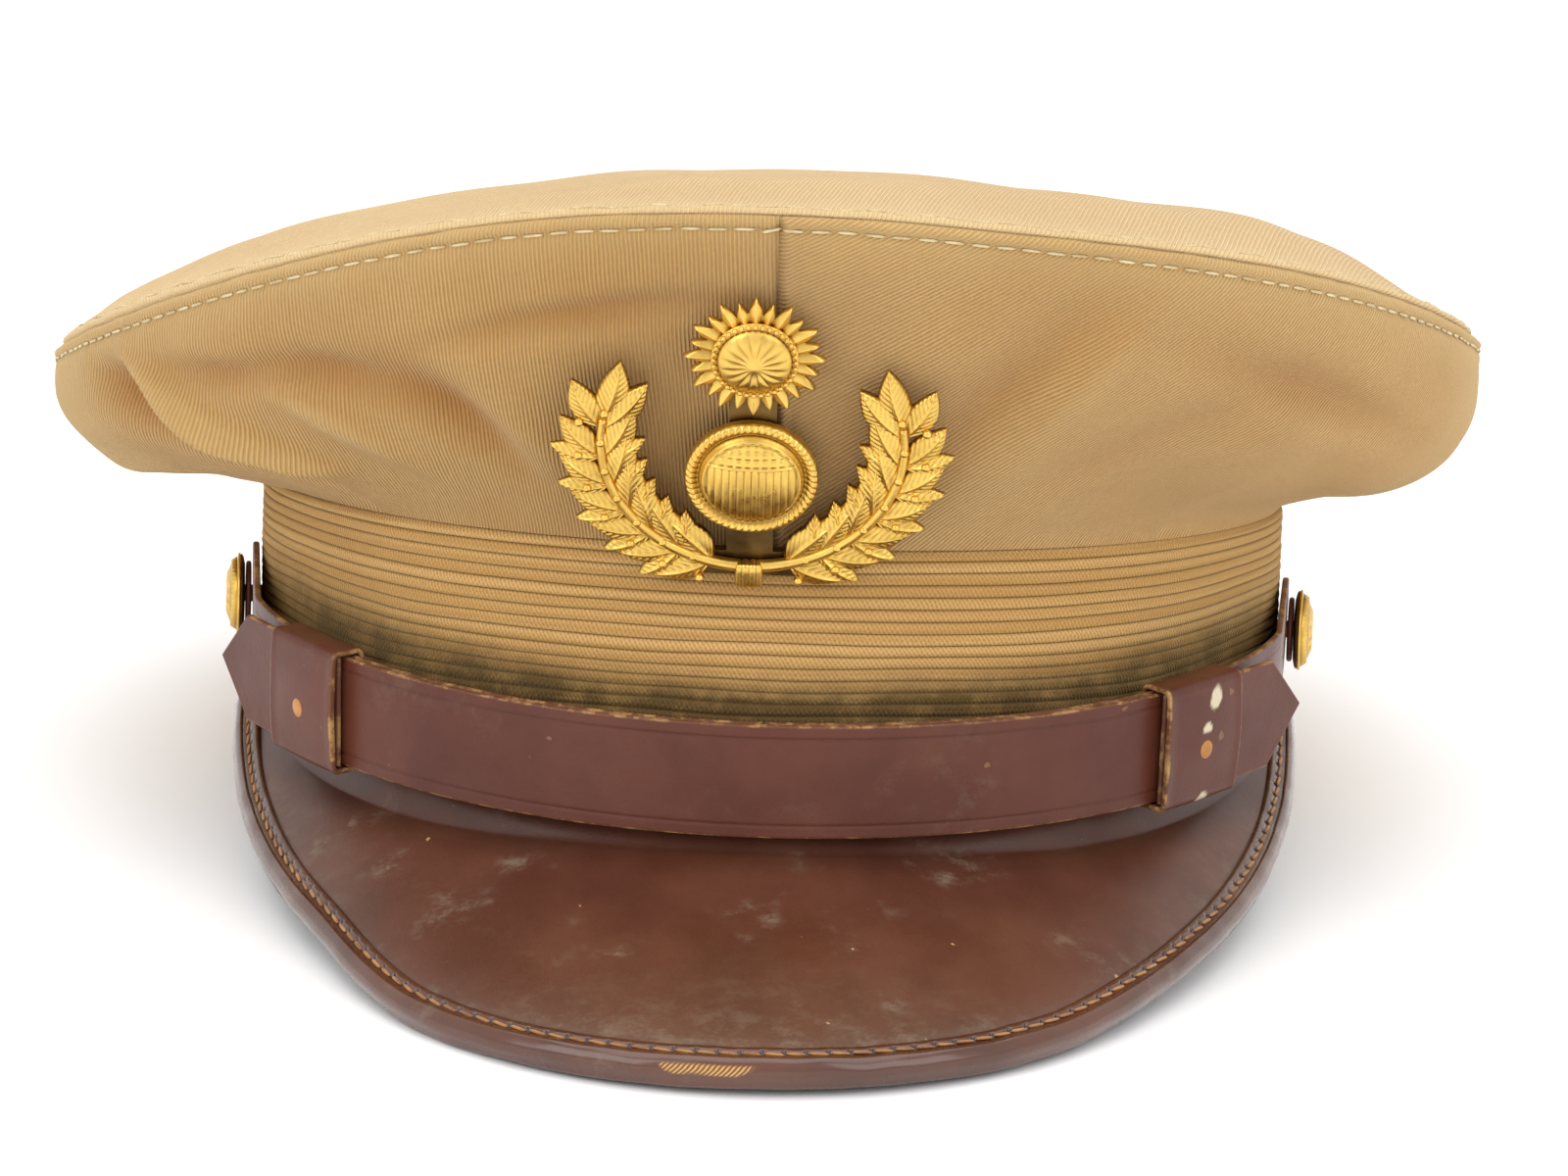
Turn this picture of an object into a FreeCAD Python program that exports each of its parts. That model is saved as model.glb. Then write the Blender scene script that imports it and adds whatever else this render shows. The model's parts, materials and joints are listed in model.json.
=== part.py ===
"""Officer's peaked service cap, millimetres, +Z up, visor toward -Y, wearer's left toward +X.

Every piece is drawn in the band frame: the hat band stands upright, its front lower edge is at
z = 0 and its upper seam is the plane z = band_height.  One common placement then tips the cap
back so that it stands on the tip of its visor and on the rear of its band, at z = 0.
Angles named "bearing" are measured round the cap from the front, positive toward +X.
"""
import FreeCAD, Part
import math
import os
import Sketcher

Vector = FreeCAD.Vector
Rotation = FreeCAD.Rotation
Placement = FreeCAD.Placement

SIZES = [
    # the oval band
    ("band_half_width", 89.4), ("band_front", 108.0), ("band_rear", 104.0), ("band_side_radius", 125.0),
    ("band_height", 45.0), ("front_dip", 4.0),
    ("hem_rise_start", 98.0), ("hem_rise_end", 44.0), ("braid_thickness", 1.2), ("stiffener_thickness", 1.6),
    ("sweatband_inset", 4.6), ("sweatband_thickness", 1.0), ("sweatband_bottom", 6.8),
    ("sweatband_top", 40.0), ("reed_radius", 1.1), ("reed_gap", 0.1), ("braid_hem_gap", 0.3),
    # the crown
    ("cloth_thickness", 1.0), ("rim_half_width", 125.0), ("rim_front", 141.0), ("rim_rear", 133.0),
    ("rim_side_height", 69.0), ("rim_front_rise", 28.5), ("rim_rear_drop", 1.5), ("crown_dome", 22.5),
    ("seam_gap", 0.3), ("grommet_thickness", 0.8), ("lining_gap", 4.0),
    # the visor
    ("visor_slope", 27.5), ("visor_arch_radius", 151.0), ("visor_depth", 52.6),
    ("visor_front_radius", 66.1), ("visor_side_radius", 171.2), ("visor_blend_angle", 50.0),
    ("visor_leather", 0.9), ("visor_board", 1.2), ("binding_width", 4.2), ("binding_leather", 0.8),
    # the front strap with its two keepers
    ("strap_width", 18.0), ("strap_leather", 1.2), ("strap_radius", 88.6), ("layer_gap", 0.1),
    ("strap_centre", 23.0), ("strap_stand_off", 0.6),
    ("strap_tilt", 8.0), ("strap_level", 22.9), ("keeper_bearing_left", 48.3),
    ("keeper_bearing_right", 52.4), ("keeper_span", 11.5), ("keeper_leather", 0.9),
    ("keeper_clearance", 0.25), ("tab_reach", 10.7),
    # buttons and badge
    ("button_diameter", 14.0), ("button_bearing", 81.7), ("button_height", 24.0), ("post_diameter", 3.0),
    ("running_clearance", 0.08), ("badge_offset", -3.0), ("badge_lean", 31.0), ("badge_forward", 122.4),
    ("badge_height", 62.5),
    # how the cap stands
    ("rest_tilt", 7.15),
]

doc = FreeCAD.newDocument("PeakedCap")
sheet = doc.addObject("Spreadsheet::Sheet", "sizes")
for row, (alias, value) in enumerate(SIZES, start=1):
    sheet.set("A%d" % row, alias)
    sheet.set("B%d" % row, str(value))
    sheet.setAlias("B%d" % row, alias)
doc.recompute()

NODES = []


def size(alias):
    return float(sheet.get(alias))


def node(item, label):
    """Registers a finished document object as one sub-part of the cap."""
    item.Label = label
    NODES.append(item)
    return item


def shape_node(label, shape):
    """A sub-part whose surface is free-form, so its shape is built with Part's functions."""
    item = doc.addObject("Part::Feature", label)
    item.Shape = shape
    return node(item, label)


# ---------------------------------------------------------------- the oval of the band

SIDE_OFFSET = size("band_side_radius") - size("band_half_width")


def arc_centre_depth(extent):
    """Distance from the middle of the oval to the centre of its front or rear arc."""
    difference = size("band_side_radius") - extent
    return (SIDE_OFFSET ** 2 - difference ** 2) / (2 * difference)


FRONT_DEPTH = arc_centre_depth(size("band_front"))
REAR_DEPTH = arc_centre_depth(size("band_rear"))
FRONT_RADIUS = size("band_front") - FRONT_DEPTH
REAR_RADIUS = size("band_rear") - REAR_DEPTH
FRONT_JOIN = math.atan2(SIDE_OFFSET, FRONT_DEPTH)
REAR_JOIN = math.pi - math.atan2(SIDE_OFFSET, REAR_DEPTH)


def outward(bearing):
    return Vector(math.sin(bearing), -math.cos(bearing), 0)


def oval_point(bearing, inset=0.0):
    """The point of the band's outer oval, moved inward by inset, that faces a bearing."""
    turn = math.atan2(math.sin(bearing), math.cos(bearing))
    if abs(turn) <= FRONT_JOIN:
        centre, radius = Vector(0, -FRONT_DEPTH, 0), FRONT_RADIUS
    elif abs(turn) >= REAR_JOIN:
        centre, radius = Vector(0, REAR_DEPTH, 0), REAR_RADIUS
    else:
        centre, radius = Vector(-math.copysign(SIDE_OFFSET, turn), 0, 0), size("band_side_radius")
    return centre + outward(bearing) * (radius - inset)


def oval_wire(inset, height):
    """The oval as four tangent arcs at one height."""
    joins = [FRONT_JOIN, REAR_JOIN, -REAR_JOIN, -FRONT_JOIN]
    middles = [math.pi / 2, math.pi, -math.pi / 2, 0.0]
    edges = []
    for index in range(4):
        bearings = [joins[index], middles[index], joins[(index + 1) % 4]]
        points = [oval_point(bearing, inset) + Vector(0, 0, height) for bearing in bearings]
        edges.append(Part.Arc(*points).toShape())
    return Part.Wire(edges)


def oval_prism(inset, low, high):
    return Part.Face(oval_wire(inset, low)).extrude(Vector(0, 0, high - low))


FRONT_RADIUS_EXPRESSION = (
    "sizes.band_%s - ((sizes.band_side_radius - sizes.band_half_width)^2"
    " - (sizes.band_side_radius - sizes.band_%s)^2)"
    " / (2 * (sizes.band_side_radius - sizes.band_%s))")


def origin_plane(body, role):
    return [plane for plane in body.Origin.OriginFeatures if plane.Role == role][0]


def attached_sketch(body, name, role, offset=None):
    sketch = body.newObject("Sketcher::SketchObject", name)
    sketch.AttachmentSupport = [(origin_plane(body, role), "")]
    sketch.MapMode = "FlatFace"
    if offset is not None:
        sketch.AttachmentOffset = offset
    return sketch


def bind(sketch, constraint, name, expression):
    """Adds a dimensional constraint, names it and ties it to the spreadsheet."""
    index = sketch.addConstraint(constraint)
    sketch.renameConstraint(index, name)
    sketch.setExpression(".Constraints." + name, expression)


def sketch_oval(sketch, tag, inset, inset_expression):
    """Draws the oval, inset by an amount, as four tangent arcs bound to the sheet."""
    joins = [FRONT_JOIN, REAR_JOIN, -REAR_JOIN, -FRONT_JOIN]
    centres = [Vector(-SIDE_OFFSET, 0, 0), Vector(0, REAR_DEPTH, 0), Vector(SIDE_OFFSET, 0, 0),
               Vector(0, -FRONT_DEPTH, 0)]
    radii = [size("band_side_radius"), REAR_RADIUS, size("band_side_radius"), FRONT_RADIUS]
    arcs = []
    for index in range(4):
        first = joins[index] - math.pi / 2
        last = joins[(index + 1) % 4] - math.pi / 2
        circle = Part.Circle(centres[index], Vector(0, 0, 1), radii[index] - inset)
        arcs.append(sketch.addGeometry(Part.ArcOfCircle(circle, first, last), False))
    for index in range(4):
        following = arcs[(index + 1) % 4]
        sketch.addConstraint(Sketcher.Constraint("Tangent", arcs[index], 2, following, 1))
    right, rear, left, front = arcs
    offset_expression = "sizes.band_side_radius - sizes.band_half_width"
    sketch.addConstraint(Sketcher.Constraint("PointOnObject", right, 3, -1))
    sketch.addConstraint(Sketcher.Constraint("PointOnObject", left, 3, -1))
    bind(sketch, Sketcher.Constraint("DistanceX", right, 3, -1, 1, SIDE_OFFSET), tag + "_right",
         offset_expression)
    bind(sketch, Sketcher.Constraint("DistanceX", -1, 1, left, 3, SIDE_OFFSET), tag + "_left",
         offset_expression)
    for side, name in ((right, "_right_radius"), (left, "_left_radius")):
        bind(sketch, Sketcher.Constraint("Radius", side, size("band_side_radius") - inset), tag + name,
             "sizes.band_side_radius - (%s)" % inset_expression)
    for end, radius, name in ((front, FRONT_RADIUS, "front"), (rear, REAR_RADIUS, "rear")):
        expression = FRONT_RADIUS_EXPRESSION % (name, name, name)
        bind(sketch, Sketcher.Constraint("Radius", end, radius - inset), tag + "_" + name,
             "%s - (%s)" % (expression, inset_expression))


def oval_band(label, outer, outer_expression, inner, inner_expression, low, low_expression,
              height, height_expression):
    """A hoop of the band: an oval ring padded upward from its lower edge."""
    body = doc.addObject("PartDesign::Body", label)
    lift = Placement(Vector(0, 0, low), Rotation())
    ring = attached_sketch(body, label + "_ring", "XY_Plane", lift)
    ring.setExpression(".AttachmentOffset.Base.z", low_expression)
    sketch_oval(ring, "outer", outer, outer_expression)
    sketch_oval(ring, "inner", inner, inner_expression)
    pad = body.newObject("PartDesign::Pad", label + "_pad")
    pad.Profile = ring
    pad.Length = height
    pad.setExpression("Length", height_expression)
    return node(body, label)


def lift_rear_edge(body, clearance):
    """Cuts the lower edge of a hoop so that it rises from the front dip to the sides and rear."""
    reach = 150.0
    front_end = -size("hem_rise_start")
    rear_start = -size("hem_rise_end")
    sketch = attached_sketch(body, body.Name + "_hem", "YZ_Plane")
    dip = size("front_dip")
    corners = [(-reach, -reach), (reach, -reach), (reach, dip + clearance),
               (rear_start, dip + clearance), (front_end, clearance), (-reach, clearance)]
    lines = []
    for index, corner in enumerate(corners):
        following = corners[(index + 1) % len(corners)]
        lines.append(sketch.addGeometry(Part.LineSegment(Vector(*corner, 0), Vector(*following, 0)), False))
    for index, line in enumerate(lines):
        sketch.addConstraint(Sketcher.Constraint("Coincident", line, 2, lines[(index + 1) % 6], 1))
    for line in (lines[0], lines[2], lines[4]):
        sketch.addConstraint(Sketcher.Constraint("Horizontal", line))
    for line in (lines[1], lines[5]):
        sketch.addConstraint(Sketcher.Constraint("Vertical", line))
    bind(sketch, Sketcher.Constraint("DistanceY", -1, 1, lines[2], 1, dip + clearance), "rear_edge",
         "sizes.front_dip + %g" % clearance)
    bind(sketch, Sketcher.Constraint("DistanceX", lines[3], 2, lines[2], 2, rear_start - front_end),
         "rise_length", "sizes.hem_rise_start - sizes.hem_rise_end")
    bind(sketch, Sketcher.Constraint("DistanceX", lines[2], 2, -1, 1, -rear_start), "rise_end",
         "sizes.hem_rise_end")
    sketch.addConstraint(Sketcher.Constraint("DistanceY", -1, 1, lines[4], 1, max(clearance, 0.01)))
    sketch.addConstraint(Sketcher.Constraint("DistanceY", lines[0], 1, -1, 1, reach))
    sketch.addConstraint(Sketcher.Constraint("DistanceX", lines[0], 1, -1, 1, reach))
    sketch.addConstraint(Sketcher.Constraint("DistanceX", -1, 1, lines[0], 2, reach))
    pocket = body.newObject("PartDesign::Pocket", body.Name + "_hem_cut")
    pocket.Profile = sketch
    pocket.Type = "ThroughAll"
    pocket.Midplane = True


def post_hole(body, side, diameter, diameter_expression):
    """A round hole along a side button's post, through a piece of the band or the strap."""
    bore_length = 12.0
    sketch = attached_sketch(body, "%s_hole_%s" % (body.Name, side), "XY_Plane", button_placement(side))
    circle = sketch.addGeometry(Part.Circle(Vector(0, 0, 0), Vector(0, 0, 1), diameter / 2), False)
    sketch.addConstraint(Sketcher.Constraint("Coincident", circle, 3, -1, 1))
    bind(sketch, Sketcher.Constraint("Diameter", circle, diameter), "bore", diameter_expression)
    pocket = body.newObject("PartDesign::Pocket", "%s_bore_%s" % (body.Name, side))
    pocket.Profile = sketch
    pocket.Length = bore_length
    pocket.Midplane = True


def button_placement(side):
    """Origin on the band's outer face, local +Z along the button's post, pointing outward."""
    bearing = math.radians(size("button_bearing")) * (1 if side == "left" else -1)
    base = oval_point(bearing) + Vector(0, 0, size("button_height"))
    return Placement(base, Rotation(Vector(0, 0, 1), outward(bearing)))


def make_band():
    """Stiffener, mohair braid and sweatband, from the inside of the cloth to the head."""
    braid = size("braid_thickness")
    stiffener = braid + size("stiffener_thickness")
    bore = size("post_diameter") + 2 * size("running_clearance")
    bore_expression = "sizes.post_diameter + 2 * sizes.running_clearance"
    board = oval_band("band_stiffener", braid, "sizes.braid_thickness", stiffener,
                      "sizes.braid_thickness + sizes.stiffener_thickness", 0.0, "0", size("band_height"),
                      "sizes.band_height")
    lift_rear_edge(board, 0.0)
    hem_gap = size("braid_hem_gap")
    skin = oval_band("mohair_braid_band", 0.0, "0", braid, "sizes.braid_thickness", hem_gap,
                     "sizes.braid_hem_gap", size("band_height") - hem_gap,
                     "sizes.band_height - sizes.braid_hem_gap")
    lift_rear_edge(skin, hem_gap)
    for hoop in (board, skin):
        for side in ("left", "right"):
            post_hole(hoop, side, bore, bore_expression)
    inset = size("sweatband_inset")
    depth = inset + size("sweatband_thickness")
    bottom = size("sweatband_bottom")
    oval_band("sweatband", inset, "sizes.sweatband_inset", depth,
              "sizes.sweatband_inset + sizes.sweatband_thickness", bottom, "sizes.sweatband_bottom",
              size("sweatband_top") - bottom, "sizes.sweatband_top - sizes.sweatband_bottom")
    make_reed(inset + size("sweatband_thickness") / 2)


def make_reed(inset):
    """The rolled cord along the sweatband's lower edge, a round section swept along the oval."""
    radius = size("reed_radius")
    height = size("sweatband_bottom") - radius - size("reed_gap")
    body = doc.addObject("PartDesign::Body", "sweatband_reed")
    path = attached_sketch(body, "reed_path", "XY_Plane", Placement(Vector(0, 0, height), Rotation()))
    level = "sizes.sweatband_bottom - sizes.reed_radius - sizes.reed_gap"
    path.setExpression(".AttachmentOffset.Base.z", level)
    sketch_oval(path, "line", inset, "sizes.sweatband_inset + sizes.sweatband_thickness / 2")
    profile = attached_sketch(body, "reed_section", "XZ_Plane")
    spot = Vector(size("band_half_width") - inset, height, 0)
    circle = profile.addGeometry(Part.Circle(spot, Vector(0, 0, 1), radius), False)
    bind(profile, Sketcher.Constraint("DistanceX", -1, 1, circle, 3, spot.x), "out",
         "sizes.band_half_width - sizes.sweatband_inset - sizes.sweatband_thickness / 2")
    bind(profile, Sketcher.Constraint("DistanceY", -1, 1, circle, 3, spot.y), "up", level)
    bind(profile, Sketcher.Constraint("Radius", circle, radius), "thickness", "sizes.reed_radius")
    pipe = body.newObject("PartDesign::AdditivePipe", "reed_pipe")
    pipe.Profile = profile
    pipe.Spine = path
    node(body, "sweatband_reed")


# ---------------------------------------------------------------- the crown

RISE_POWER = 1.7
SEAM_INSET, SEAM_LIFT = 0.3, 1.3
# where the two inner control points of a side panel's curve lie, outward and upward of its ends:
# the distance at the sides and rear, and what is added to it toward the front
LOW_OUT, LOW_OUT_FRONT = 14.0, -9.0
LOW_UP, LOW_UP_FRONT = -6.0, 17.0
HIGH_OUT, HIGH_OUT_FRONT = 3.5, -13.5
HIGH_UP, HIGH_UP_FRONT = -25.0, 5.0
# the top panel's extra height toward the front, its fall toward the rear and how square its dome is
FRONT_SWELL, FRONT_SWELL_REACH = 6.5, 60.0
REAR_FALL = 0.12
DOME_SQUARENESS = 0.45
HOOP_LOW, HOOP_HIGH = 0.84, 0.95
BOSS_LEVEL = -5.2
BADGE_FRAME = Placement(Vector(size("badge_offset"), -size("badge_forward"), size("badge_height")),
                        Rotation(Vector(1, 0, 0), 90 + size("badge_lean")))


def rim_point(bearing):
    """The rim of the crown, where the side panels meet the top panel."""
    forward = math.cos(bearing)
    depth = size("rim_front") if forward > 0 else size("rim_rear")
    height = size("rim_side_height") + size("rim_front_rise") * max(0.0, forward) ** RISE_POWER
    height -= size("rim_rear_drop") * max(0.0, -forward)
    return Vector(size("rim_half_width") * math.sin(bearing), -depth * forward, height)


def flare_point(bearing, rise):
    """A point of the side panels' outer face: rise 0 is the band seam and 1 is the rim."""
    start = oval_point(bearing, SEAM_INSET) + Vector(0, 0, size("band_height") + SEAM_LIFT)
    end = rim_point(bearing)
    away = Vector(end.x - start.x, end.y - start.y, 0).normalize()
    front = max(0.0, math.cos(bearing)) ** RISE_POWER
    low_up = Vector(0, 0, LOW_UP + LOW_UP_FRONT * front)
    high_up = Vector(0, 0, HIGH_UP + HIGH_UP_FRONT * front)
    first = start + outward(bearing) * (LOW_OUT + LOW_OUT_FRONT * front) + low_up
    second = end + away * (HIGH_OUT + HIGH_OUT_FRONT * front) + high_up
    back = 1 - rise
    return (start * back ** 3 + first * (3 * back * back * rise) + second * (3 * back * rise * rise)
            + end * rise ** 3)


def flare_normal(bearing, rise):
    step = 0.002
    along = flare_point(bearing + step, rise) - flare_point(bearing - step, rise)
    up = flare_point(bearing, rise + step) - flare_point(bearing, rise - step)
    return along.cross(up).normalize()


def spaced(first, last, count):
    return [first + (last - first) * index / (count - 1) for index in range(count)]


def surface_through(rows):
    surface = Part.BSplineSurface()
    surface.interpolate(rows)
    return surface


def closed_solid(faces):
    shell = Part.makeShell(faces)
    shell.sewShape()
    solid = Part.Solid(Part.makeShell(shell.Faces))
    if solid.Volume < 0:
        solid.reverse()
    return solid


def sheet_solid(outer_rows, inner_rows):
    """A sheet with four edges between an outer and an inner free-form face."""
    faces = []
    surfaces = [surface_through(outer_rows), surface_through(inner_rows)]
    for surface in surfaces:
        faces.append(surface.toShape())
    for pick in ("uIso", "vIso"):
        for value in (0.0, 1.0):
            edges = [getattr(surface, pick)(value).toShape() for surface in surfaces]
            faces.append(Part.makeRuledSurface(edges[0], edges[1]))
    return closed_solid(faces)


def flare_sheet(first, last, low, high, depth, thickness, columns=13, rows=9):
    """A sheet that follows the side panels, depth below their outer face."""
    bearings = spaced(first, last, columns)
    rises = spaced(low, high, rows)
    sides = []
    for inset in (depth, depth + thickness):
        sides.append([[flare_point(b, r) - flare_normal(b, r) * inset for r in rises] for b in bearings])
    return sheet_solid(*sides)


def dome_height(x, y):
    """The height of the top panel, which is stretched over the rim and stands high in front."""
    rim_length = size("rim_front") if y < 0 else size("rim_rear")
    edge = size("rim_side_height") + size("rim_front_rise") * max(0.0, -y / rim_length) ** RISE_POWER
    edge -= size("rim_rear_drop") * max(0.0, y / rim_length)
    swell = size("crown_dome")
    swell += FRONT_SWELL * math.tanh(-y / FRONT_SWELL_REACH) if y < 0 else -REAR_FALL * y
    inside = 1 - (x / size("rim_half_width")) ** 2 - (y / rim_length) ** 2
    return edge + swell * inside * (1 + DOME_SQUARENESS * (1 - inside))


def rim_prism(inset, low, high):
    """The plan of the rim, two half ellipses, as a tall prism."""
    half = size("rim_half_width") - inset
    halves = []
    for depth, start in ((size("rim_front"), math.pi), (size("rim_rear"), 0.0)):
        length = depth - inset
        if length >= half:
            ellipse = Part.Ellipse(Vector(0, length, low), Vector(half, 0, low), Vector(0, 0, low))
            start -= math.pi / 2
        else:
            ellipse = Part.Ellipse(Vector(half, 0, low), Vector(0, length, low), Vector(0, 0, low))
        halves.append(Part.ArcOfEllipse(ellipse, start, start + math.pi).toShape())
    return Part.Face(Part.Wire(halves)).extrude(Vector(0, 0, high - low))


def domed_sheet(drop, thickness, inset):
    """A sheet that follows the top panel, dropped straight down, and ends inside the rim."""
    margin = 4.0
    ceiling = 150.0
    across = spaced(-size("rim_half_width") - margin, size("rim_half_width") + margin, 15)
    along = spaced(-size("rim_front") - margin, size("rim_rear") + margin, 17)
    rows = [[Vector(x, y, dome_height(x, y) - drop) for y in along] for x in across]
    slab = surface_through(rows).toShape().extrude(Vector(0, 0, -thickness))
    return slab.common(rim_prism(inset, 0, ceiling)).Solids[0]


def badge_hole():
    """The hole for the badge's screw post through the front of the crown."""
    radius = size("post_diameter") / 2 + 0.4
    inner_end, length = -25.0, 30.0
    bore = Part.makeCylinder(radius, length, Vector(0, BOSS_LEVEL, inner_end), Vector(0, 0, 1))
    bore.Placement = BADGE_FRAME.multiply(bore.Placement)
    return bore


def make_crown():
    cloth = size("cloth_thickness")
    panel_top = 0.97
    gap = math.radians(0.5) * size("seam_gap") / 2
    quarters = [("crown_quarter_front_left", 0.0, math.pi / 2),
                ("crown_quarter_rear_left", math.pi / 2, math.pi),
                ("crown_quarter_rear_right", -math.pi, -math.pi / 2),
                ("crown_quarter_front_right", -math.pi / 2, 0.0)]
    hole = badge_hole()
    for label, first, last in quarters:
        panel = flare_sheet(first + gap, last - gap, 0.0, panel_top, 0.0, cloth)
        if "front" in label:
            panel = panel.cut(hole).Solids[0]
        shape_node(label, panel)
    shape_node("crown_top_panel", domed_sheet(0.0, cloth, 0.0))

    # the springy hoop that holds the rim out, its joint clip, and the stay that props the front up
    hoop = size("grommet_thickness")
    under = cloth + 0.85
    open_end = math.radians(179.6)
    ring = flare_sheet(-open_end, open_end, HOOP_LOW, HOOP_HIGH, under, hoop, 61, 5)
    shape_node("grommet_ring", ring)
    clip_reach, clip_thickness = 0.06, 0.5
    clip = flare_sheet(math.pi - clip_reach, math.pi + clip_reach, HOOP_LOW, HOOP_HIGH,
                       under + hoop + 0.05, clip_thickness, 4, 4)
    shape_node("grommet_joint_clip", clip)
    board = 0.7
    reach = math.radians(48)
    interlining = flare_sheet(-reach, reach, 0.04, 0.82, under, board, 13, 7)
    shape_node("front_interlining", interlining.cut(hole).Solids[0])
    reach = math.radians(3.2)
    stay = flare_sheet(-reach, reach, 0.05, 0.94, under + 1.0, board, 5, 9)
    shape_node("front_stay", stay.cut(hole).Solids[0])

    # the lining
    lining = 0.5
    front_depth = 5.0
    half_turn = math.radians(179.8)
    bearings = spaced(-half_turn, half_turn, 37)
    rises = spaced(0.0, 0.86, 8)
    sides = []
    for inset in (0.0, lining):
        rows = []
        for b in bearings:
            depth = size("lining_gap") + front_depth * max(0.0, math.cos(b)) ** 3 + inset
            rows.append([flare_point(b, r) - flare_normal(b, r) * depth for r in rises])
        sides.append(rows)
    shape_node("lining_side", sheet_solid(*sides))
    shape_node("lining_top", domed_sheet(6.0, lining, 12.0))


# ---------------------------------------------------------------- the visor

VISOR_FRAME = Placement(Vector(0, -size("band_front"), 0), Rotation(Vector(1, 0, 0), size("visor_slope")))


def visor_outline(grow):
    """The visor's edge seen square to its slope: one front arc and a longer arc down each side."""
    blend = math.radians(size("visor_blend_angle"))
    front_radius = size("visor_front_radius") + grow
    side_radius = size("visor_side_radius") + grow
    middle = Vector(0, -size("visor_depth") + size("visor_front_radius"), 0)
    toward = Vector(math.sin(blend), -math.cos(blend), 0)
    side_middle = middle - toward * (size("visor_side_radius") - size("visor_front_radius"))
    front_end = middle + toward * front_radius
    edges = [Part.Arc(Vector(-front_end.x, front_end.y, 0), middle + Vector(0, -front_radius, 0),
                      front_end).toShape()]
    last = side_middle + Vector(side_radius, 0, 0)
    half = Vector(math.sin(blend / 2 + math.pi / 4), -math.cos(blend / 2 + math.pi / 4), 0)
    between = side_middle + half * side_radius
    edges.append(Part.Arc(front_end, between, last).toShape())
    edges.append(Part.makeLine(last, Vector(-last.x, last.y, 0)))
    edges.append(Part.Arc(Vector(-last.x, last.y, 0), Vector(-between.x, between.y, 0),
                          Vector(-front_end.x, front_end.y, 0)).toShape())
    return Part.Wire(edges)


def arched_slab(top, bottom, grow):
    """The space between two arched faces, top and bottom below the visor's face, inside its edge."""
    arch = size("visor_arch_radius")
    reach = 400.0
    block_low, block_height = -90.0, 120.0
    start = Vector(0, reach / 2, -arch)
    block = Part.Face(visor_outline(grow)).extrude(Vector(0, 0, block_height))
    block.translate(Vector(0, 0, block_low))
    above = Part.makeCylinder(arch - top, reach, start, Vector(0, -1, 0))
    below = Part.makeCylinder(arch - bottom, reach, start, Vector(0, -1, 0))
    return block.common(above).cut(below)


def make_visor():
    leather = size("visor_leather")
    board = size("visor_board")
    total = 2 * leather + board
    band_gap, tall = 0.15, 60.0
    band_space = oval_prism(-band_gap, -tall, tall)
    layers = [("visor_top_leather", 0.0, leather), ("visor_core", leather, leather + board),
              ("visor_lining", leather + board, total)]
    for label, top, bottom in layers:
        slab = arched_slab(top, bottom, 0.0)
        slab.Placement = VISOR_FRAME
        shape_node(label, slab.cut(band_space).Solids[0])

    # the rolled binding wraps the edge of the three layers
    wrap = size("binding_leather")
    clear = 0.05
    past = 5.0
    roll = arched_slab(-wrap - clear, total + wrap + clear, wrap + clear)
    opening = arched_slab(-wrap - past, total + wrap + past, -size("binding_width"))
    slot = arched_slab(-clear, total + clear, clear)
    rim = roll.cut(opening).cut(slot)
    rim.Placement = VISOR_FRAME
    pieces = rim.cut(band_space).Solids
    shape_node("visor_edge_binding", max(pieces, key=lambda piece: piece.Volume))


# ---------------------------------------------------------------- the front strap and its keepers

STRAP_FRAME = Placement(Vector(0, -size("strap_centre"), size("strap_level")),
                        Rotation(Vector(1, 0, 0), size("strap_tilt")))


def ring_sector(inner, outer, low, high, first, last):
    """Part of an upright ring about the strap's axis, between two bearings in degrees."""
    height = Vector(0, 0, low)
    disc = Part.makeCylinder(outer, high - low, height, Vector(0, 0, 1), last - first)
    bore = Part.makeCylinder(inner, high - low, height, Vector(0, 0, 1), last - first)
    sector = disc.cut(bore)
    sector.rotate(Vector(0, 0, 0), Vector(0, 0, 1), first - 90)
    return sector


def flat_end(outline, bearing, radius, heading):
    """A flat strap end: an outline in (along, up), on the strap at a bearing, along a heading."""
    start = outward(math.radians(bearing)) * radius
    along = Vector(math.cos(math.radians(heading)), math.sin(math.radians(heading)), 0)
    thickness = size("strap_leather")
    across = Vector(along.y, -along.x, 0)
    frame = Placement(start, Rotation(along, Vector(0, 0, 1), across * -1, "XYZ"))
    face = Part.Face(outline)
    slab = face.extrude(Vector(0, 0, -thickness))
    slab.Placement = frame
    return slab


def tongue_outline(length, rise):
    """The strap's rising end: an S-bend that finishes in a half round about the button hole."""
    half = size("strap_width") / 2
    third = length / 3
    edges = []
    for side in (-1, 1):
        curve = Part.BezierCurve()
        curve.setPoles([Vector(0, side * half, 0), Vector(third, side * half, 0),
                        Vector(length - third, rise + side * half, 0), Vector(length, rise + side * half, 0)])
        edges.append(curve.toShape())
    round_end = Part.Arc(Vector(length, rise - half, 0), Vector(length + half, rise, 0),
                         Vector(length, rise + half, 0)).toShape()
    start = Part.makeLine(Vector(0, half, 0), Vector(0, -half, 0))
    return Part.Wire([edges[0], round_end, edges[1], start])


def mirrored(shape):
    return shape.mirror(Vector(0, 0, 0), Vector(1, 0, 0))


def place_strap_piece(shape):
    shape.Placement = STRAP_FRAME.multiply(shape.Placement)
    return shape


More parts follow.
